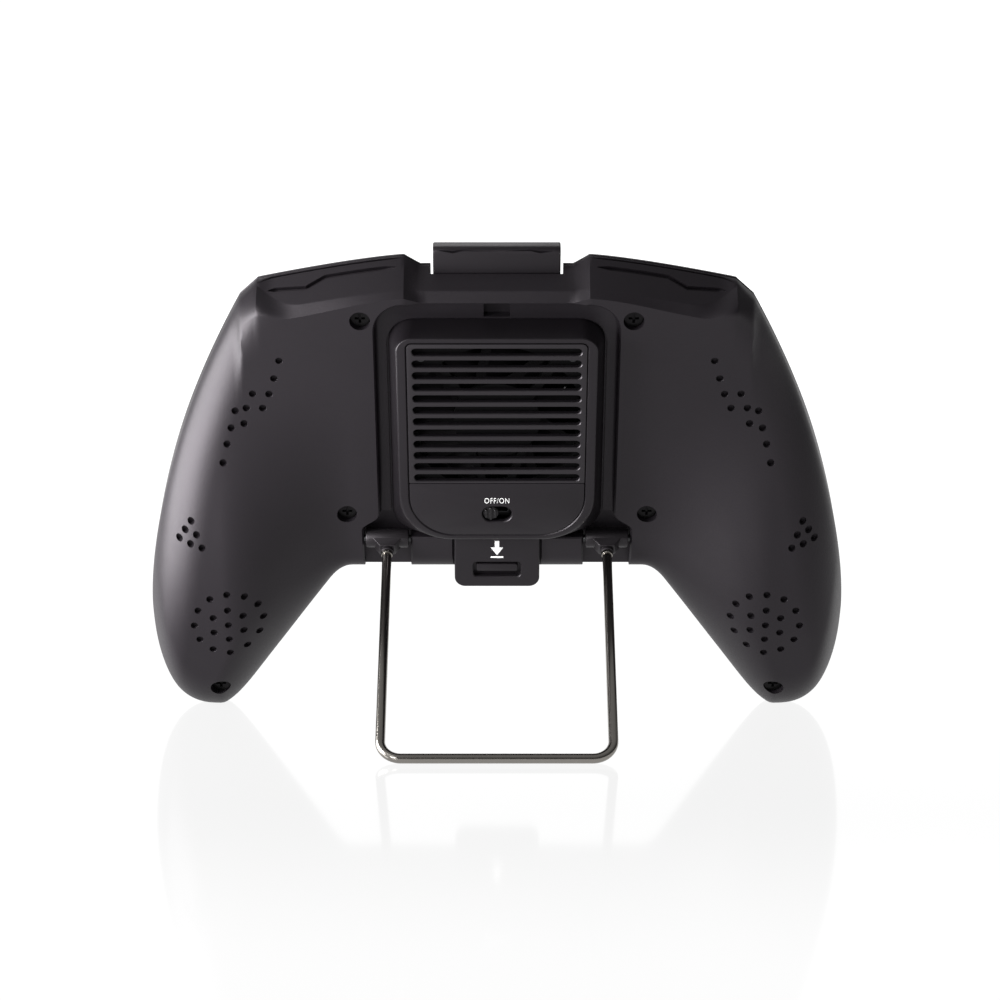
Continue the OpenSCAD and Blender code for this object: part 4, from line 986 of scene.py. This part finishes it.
def build_knuckle(name, s):
    """A hinge barrel with a skirt and a ring round the wire's leg."""
    r, x = BARREL_D / 2, s * LEG_X
    half, reach = BARREL_LEN / 2, 6
    top, down = (x, 0, 0), (x, 0, -1)
    ends = [(0, r - 0.3), (0.08, r - 0.12), (0.3, r)]
    profile = ends + [(2 * half - d, w) for d, w in ends[::-1]]
    barrel = turned("barrel", profile, (x - half, 0, 0), (x + half, 0, 0), 48)
    sides = [(-3.4, -0.6), (-3.4, -1.0), (-1.65, -3.5), (1.65, -3.5), (3.4, -1.0), (3.4, -0.6)]
    skirt = softened(lofted("skirt", [[(x + w, y, z) for w, z in sides] for y in (-1.6, 1.6)]), 0.35)
    ring = turned("ring", [(3.3, 1.3), (3.4, 1.5), (4.2, 1.5), (4.35, 1.35)], top, down, 40)
    combine(barrel, [skirt, ring], "UNION")
    pin = turned("pin", [(0, PIN_R), (2 * reach, PIN_R)], (x - reach, 0, 0), (x + reach, 0, 0), 24)
    bore = turned("bore", [(1.9, 1.1), (8, 1.1)], top, down, 24)
    combine(barrel, [pin, bore])
    barrel.data.transform(STAND)
    piece(barrel, name + "_barrel", "stand", HINGE, [name], 35)


# White print on the switch panel and the pull tab

WORDS_W, WORDS_H, WORDS_Z = 5.4, 1.4, SWITCH_Z + 3.7


def build_print():
    font = bpy.data.curves.new("switch_words", "FONT")
    font.body = "OFF/ON"
    font.align_x, font.align_y = "CENTER", "CENTER"
    font.offset = -0.006
    font.space_character = 1.12
    font.extrude = 0.01
    words = bpy.data.objects.new("switch_words", font)
    scratch.objects.link(words)
    dg = bpy.context.evaluated_depsgraph_get()
    mesh = bpy.data.meshes.new_from_object(words.evaluated_get(dg))
    bpy.data.objects.remove(words)
    xs = [v.co.x for v in mesh.vertices]
    ys = [v.co.y for v in mesh.vertices]
    sx, sy = WORDS_W / (max(xs) - min(xs)), WORDS_H / (max(ys) - min(ys))
    cx, cy = (max(xs) + min(xs)) / 2, (max(ys) + min(ys)) / 2
    for v in mesh.vertices:
        v.co = body((v.co.x - cx) * sx, BEZEL_RISE + 0.012 + v.co.z, WORDS_Z + (v.co.y - cy) * sy)
    obj = bpy.data.objects.new("switch_words", mesh)
    scratch.objects.link(obj)
    piece(obj, "switch_words", "controller_body", PRINT, (), 30)
    arrow = [(-0.5, 0.75), (-0.5, -1.05), (-1.4, -1.05), (0.0, -3.2), (1.4, -1.05), (0.5, -1.05), (0.5, 0.75)]
    line = [(-1.4, -3.5), (-1.4, -3.95), (1.4, -3.95), (1.4, -3.5)]
    sign = joined("sign", [prism("mark", pts, TAB_OUT - 0.05, TAB_OUT + 0.02) for pts in (arrow, line)])
    piece(sign, "pull_arrow", "bottom_jaw", PRINT, (), 30)


build_rear()
build_front()
build_bezel()
build_panels()
build_knob()
build_upper_jaw()
build_lower_jaw()
build_wire()
build_knuckle("hinge_knuckle_left", -1)
build_knuckle("hinge_knuckle_right", 1)
build_print()

# CAD nodes that stay: softened edges and a finish
FINISH = {
    "fan_frame": (FAN_PAINTED_DARK, 0.2), "fan_rotor": (FAN_PAINTED_DARK, 0.12), "fan_screws": (BLACK_STEEL, 0.1),
    "switch_body": (BLACK_STEEL, 0.1), "control_board": (BOARD, 0.05), "charging_socket": (STEEL, 0.1),
    "battery_cell": (CELL, 0.3), "upper_jaw_pad": (PAD, 0.25), "lower_jaw_pad": (PAD, 0.25),
    "jaw_guides": (JAW, 0.15), "hinge_pins": (BLACK_STEEL, 0.1), "case_screws": (SCREW_PAINTED_DARK, 0.1),
    "bed_pads": (PAD, 0.3)}
for name, (mat, width) in FINISH.items():
    obj = nodes[name]
    obj.data.materials.clear()
    obj.data.materials.append(mat)
    weld = obj.modifiers.new("weld", "WELD")
    weld.merge_threshold = 0.000004
    bevel = obj.modifiers.new("edge", "BEVEL")
    bevel.width = width / 1000
    bevel.segments = 2
    bevel.limit_method = "ANGLE"
    bevel.angle_limit = math.radians(40)


# Stage

# The table's glow: dimmer under the object, a painted shadow, and full nearer the camera, and where one passes
# into the other
PAINTED_SHADOW_GLOW, FRONT_GLOW, GLOW_FROM, GLOW_TO = 0.885, 0.97, -0.06, -0.17
# Room light: everywhere, and what is added by axis between two directions
ROOM_DIM = 0.075
ROOM = [("Y", 0.3, 0.95, 0.96), ("X", 0.1, -0.95, 0.15), ("Z", 0.25, 1.0, 0.32)]
# Area lights: place, aim, size in metres, power
LIGHTS = {
    "key": ((-0.4, -0.6, 0.75), (0, 0, 0.06), (0.35, 0.35), 0.6),
    "front_box": ((-0.33, -0.72, 0.22), (0, 0, 0.08), (0.22, 0.24), 1.9),
    "corner_box": ((-0.28, -0.17, 0.13), (-0.03, -0.02, 0.1), (0.06, 0.1), 1.1),
    "left_box": ((-0.155, -0.035, 0.05), (-0.06, -0.005, 0.035), (0.13, 0.09), 0.6),
    "top_box": ((-0.1, 0.45, 0.8), (0, 0, 0.08), (0.5, 0.3), 1.8)}
# The camera stands where the photo's did, worked out in the body's frame
CAMERA_PLACE, OFF_NORMAL = (0.669, 473.045, 351.085), 35.69
FOCAL_PX, PICTURE_PX, SENSOR = 2647, 1000, 36


def floor():
    """White table: it glows a little, so it stays white, and mirrors the object faintly. Its glow is dimmer
    under the object, a painted shadow.
    """
    bpy.ops.mesh.primitive_plane_add(size=40, location=(0, 0, 0))
    plane = bpy.context.object
    plane.name = "floor"
    mat, nt, bsdf = new_material("floor_white")
    bsdf.inputs["Base Color"].default_value = (0.01, 0.01, 0.01, 1)
    bsdf.inputs["Roughness"].default_value = 0.08
    bsdf.inputs["IOR"].default_value = 1.12
    bsdf.inputs["Emission Color"].default_value = (1, 1, 1, 1)
    co = nt.nodes.new("ShaderNodeTexCoord")
    split = nt.nodes.new("ShaderNodeSeparateXYZ")
    nt.links.new(co.outputs["Object"], split.inputs["Vector"])
    ramp = nt.nodes.new("ShaderNodeMapRange")
    ramp.interpolation_type = "SMOOTHSTEP"
    for key, value in (("From Min", GLOW_FROM), ("From Max", GLOW_TO),
                       ("To Min", PAINTED_SHADOW_GLOW), ("To Max", FRONT_GLOW)):
        ramp.inputs[key].default_value = value
    nt.links.new(split.outputs["Y"], ramp.inputs["Value"])
    # Painted shadow: the glow is weaker near the object than towards the camera
    nt.links.new(ramp.outputs["Result"], bsdf.inputs["Emission Strength"])
    plane.data.materials.append(mat)


def light(name, place, aim, size, power):
    data = bpy.data.lights.new(name, "AREA")
    data.shape = "RECTANGLE"
    data.size, data.size_y = size
    data.energy = power
    obj = bpy.data.objects.new(name, data)
    bpy.context.scene.collection.objects.link(obj)
    obj.visible_camera = False
    obj.location = place
    obj.rotation_euler = (Vector(aim) - Vector(place)).to_track_quat("-Z", "Y").to_euler()


def studio():
    """Room light by direction: white behind the object, a little from the left and above, dim elsewhere."""
    world = bpy.data.worlds.new("studio")
    bpy.context.scene.world = world
    world.use_nodes = True
    nt = world.node_tree
    co = nt.nodes.new("ShaderNodeTexCoord")
    split = nt.nodes.new("ShaderNodeSeparateXYZ")
    nt.links.new(co.outputs["Generated"], split.inputs["Vector"])
    total = None
    for axis, start, end, share in ROOM:
        part = nt.nodes.new("ShaderNodeMapRange")
        part.interpolation_type = "SMOOTHSTEP"
        for key, value in (("From Min", start), ("From Max", end), ("To Min", 0.0), ("To Max", share)):
            part.inputs[key].default_value = value
        nt.links.new(split.outputs[axis], part.inputs["Value"])
        plus = nt.nodes.new("ShaderNodeMath")
        plus.operation = "ADD"
        plus.inputs[1].default_value = ROOM_DIM
        if total is not None:
            nt.links.new(total, plus.inputs[1])
        nt.links.new(part.outputs["Result"], plus.inputs[0])
        total = plus.outputs["Value"]
    back = nt.nodes["Background"]
    back.inputs["Color"].default_value = (1, 1, 1, 1)
    nt.links.new(total, back.inputs["Strength"])


floor()
studio()
bpy.context.scene.view_settings.view_transform = "Standard"
for name, values in LIGHTS.items():
    light(name, *values)

cam_data = bpy.data.cameras.new("camera")
cam = bpy.data.objects.new("camera", cam_data)
bpy.context.scene.collection.objects.link(cam)
cam_data.sensor_width = SENSOR
cam_data.lens = FOCAL_PX / PICTURE_PX * SENSOR
cam.location = TO_ROW @ Vector(body(*CAMERA_PLACE))
cam.rotation_euler = (math.radians(90 - OFF_NORMAL) + LEAN, 0, 0)
cam_data.clip_start, cam_data.clip_end = 0.01, 50
bpy.context.scene.camera = cam

for left in list(scratch.objects):
    bpy.data.objects.remove(left)
bpy.data.collections.remove(scratch)
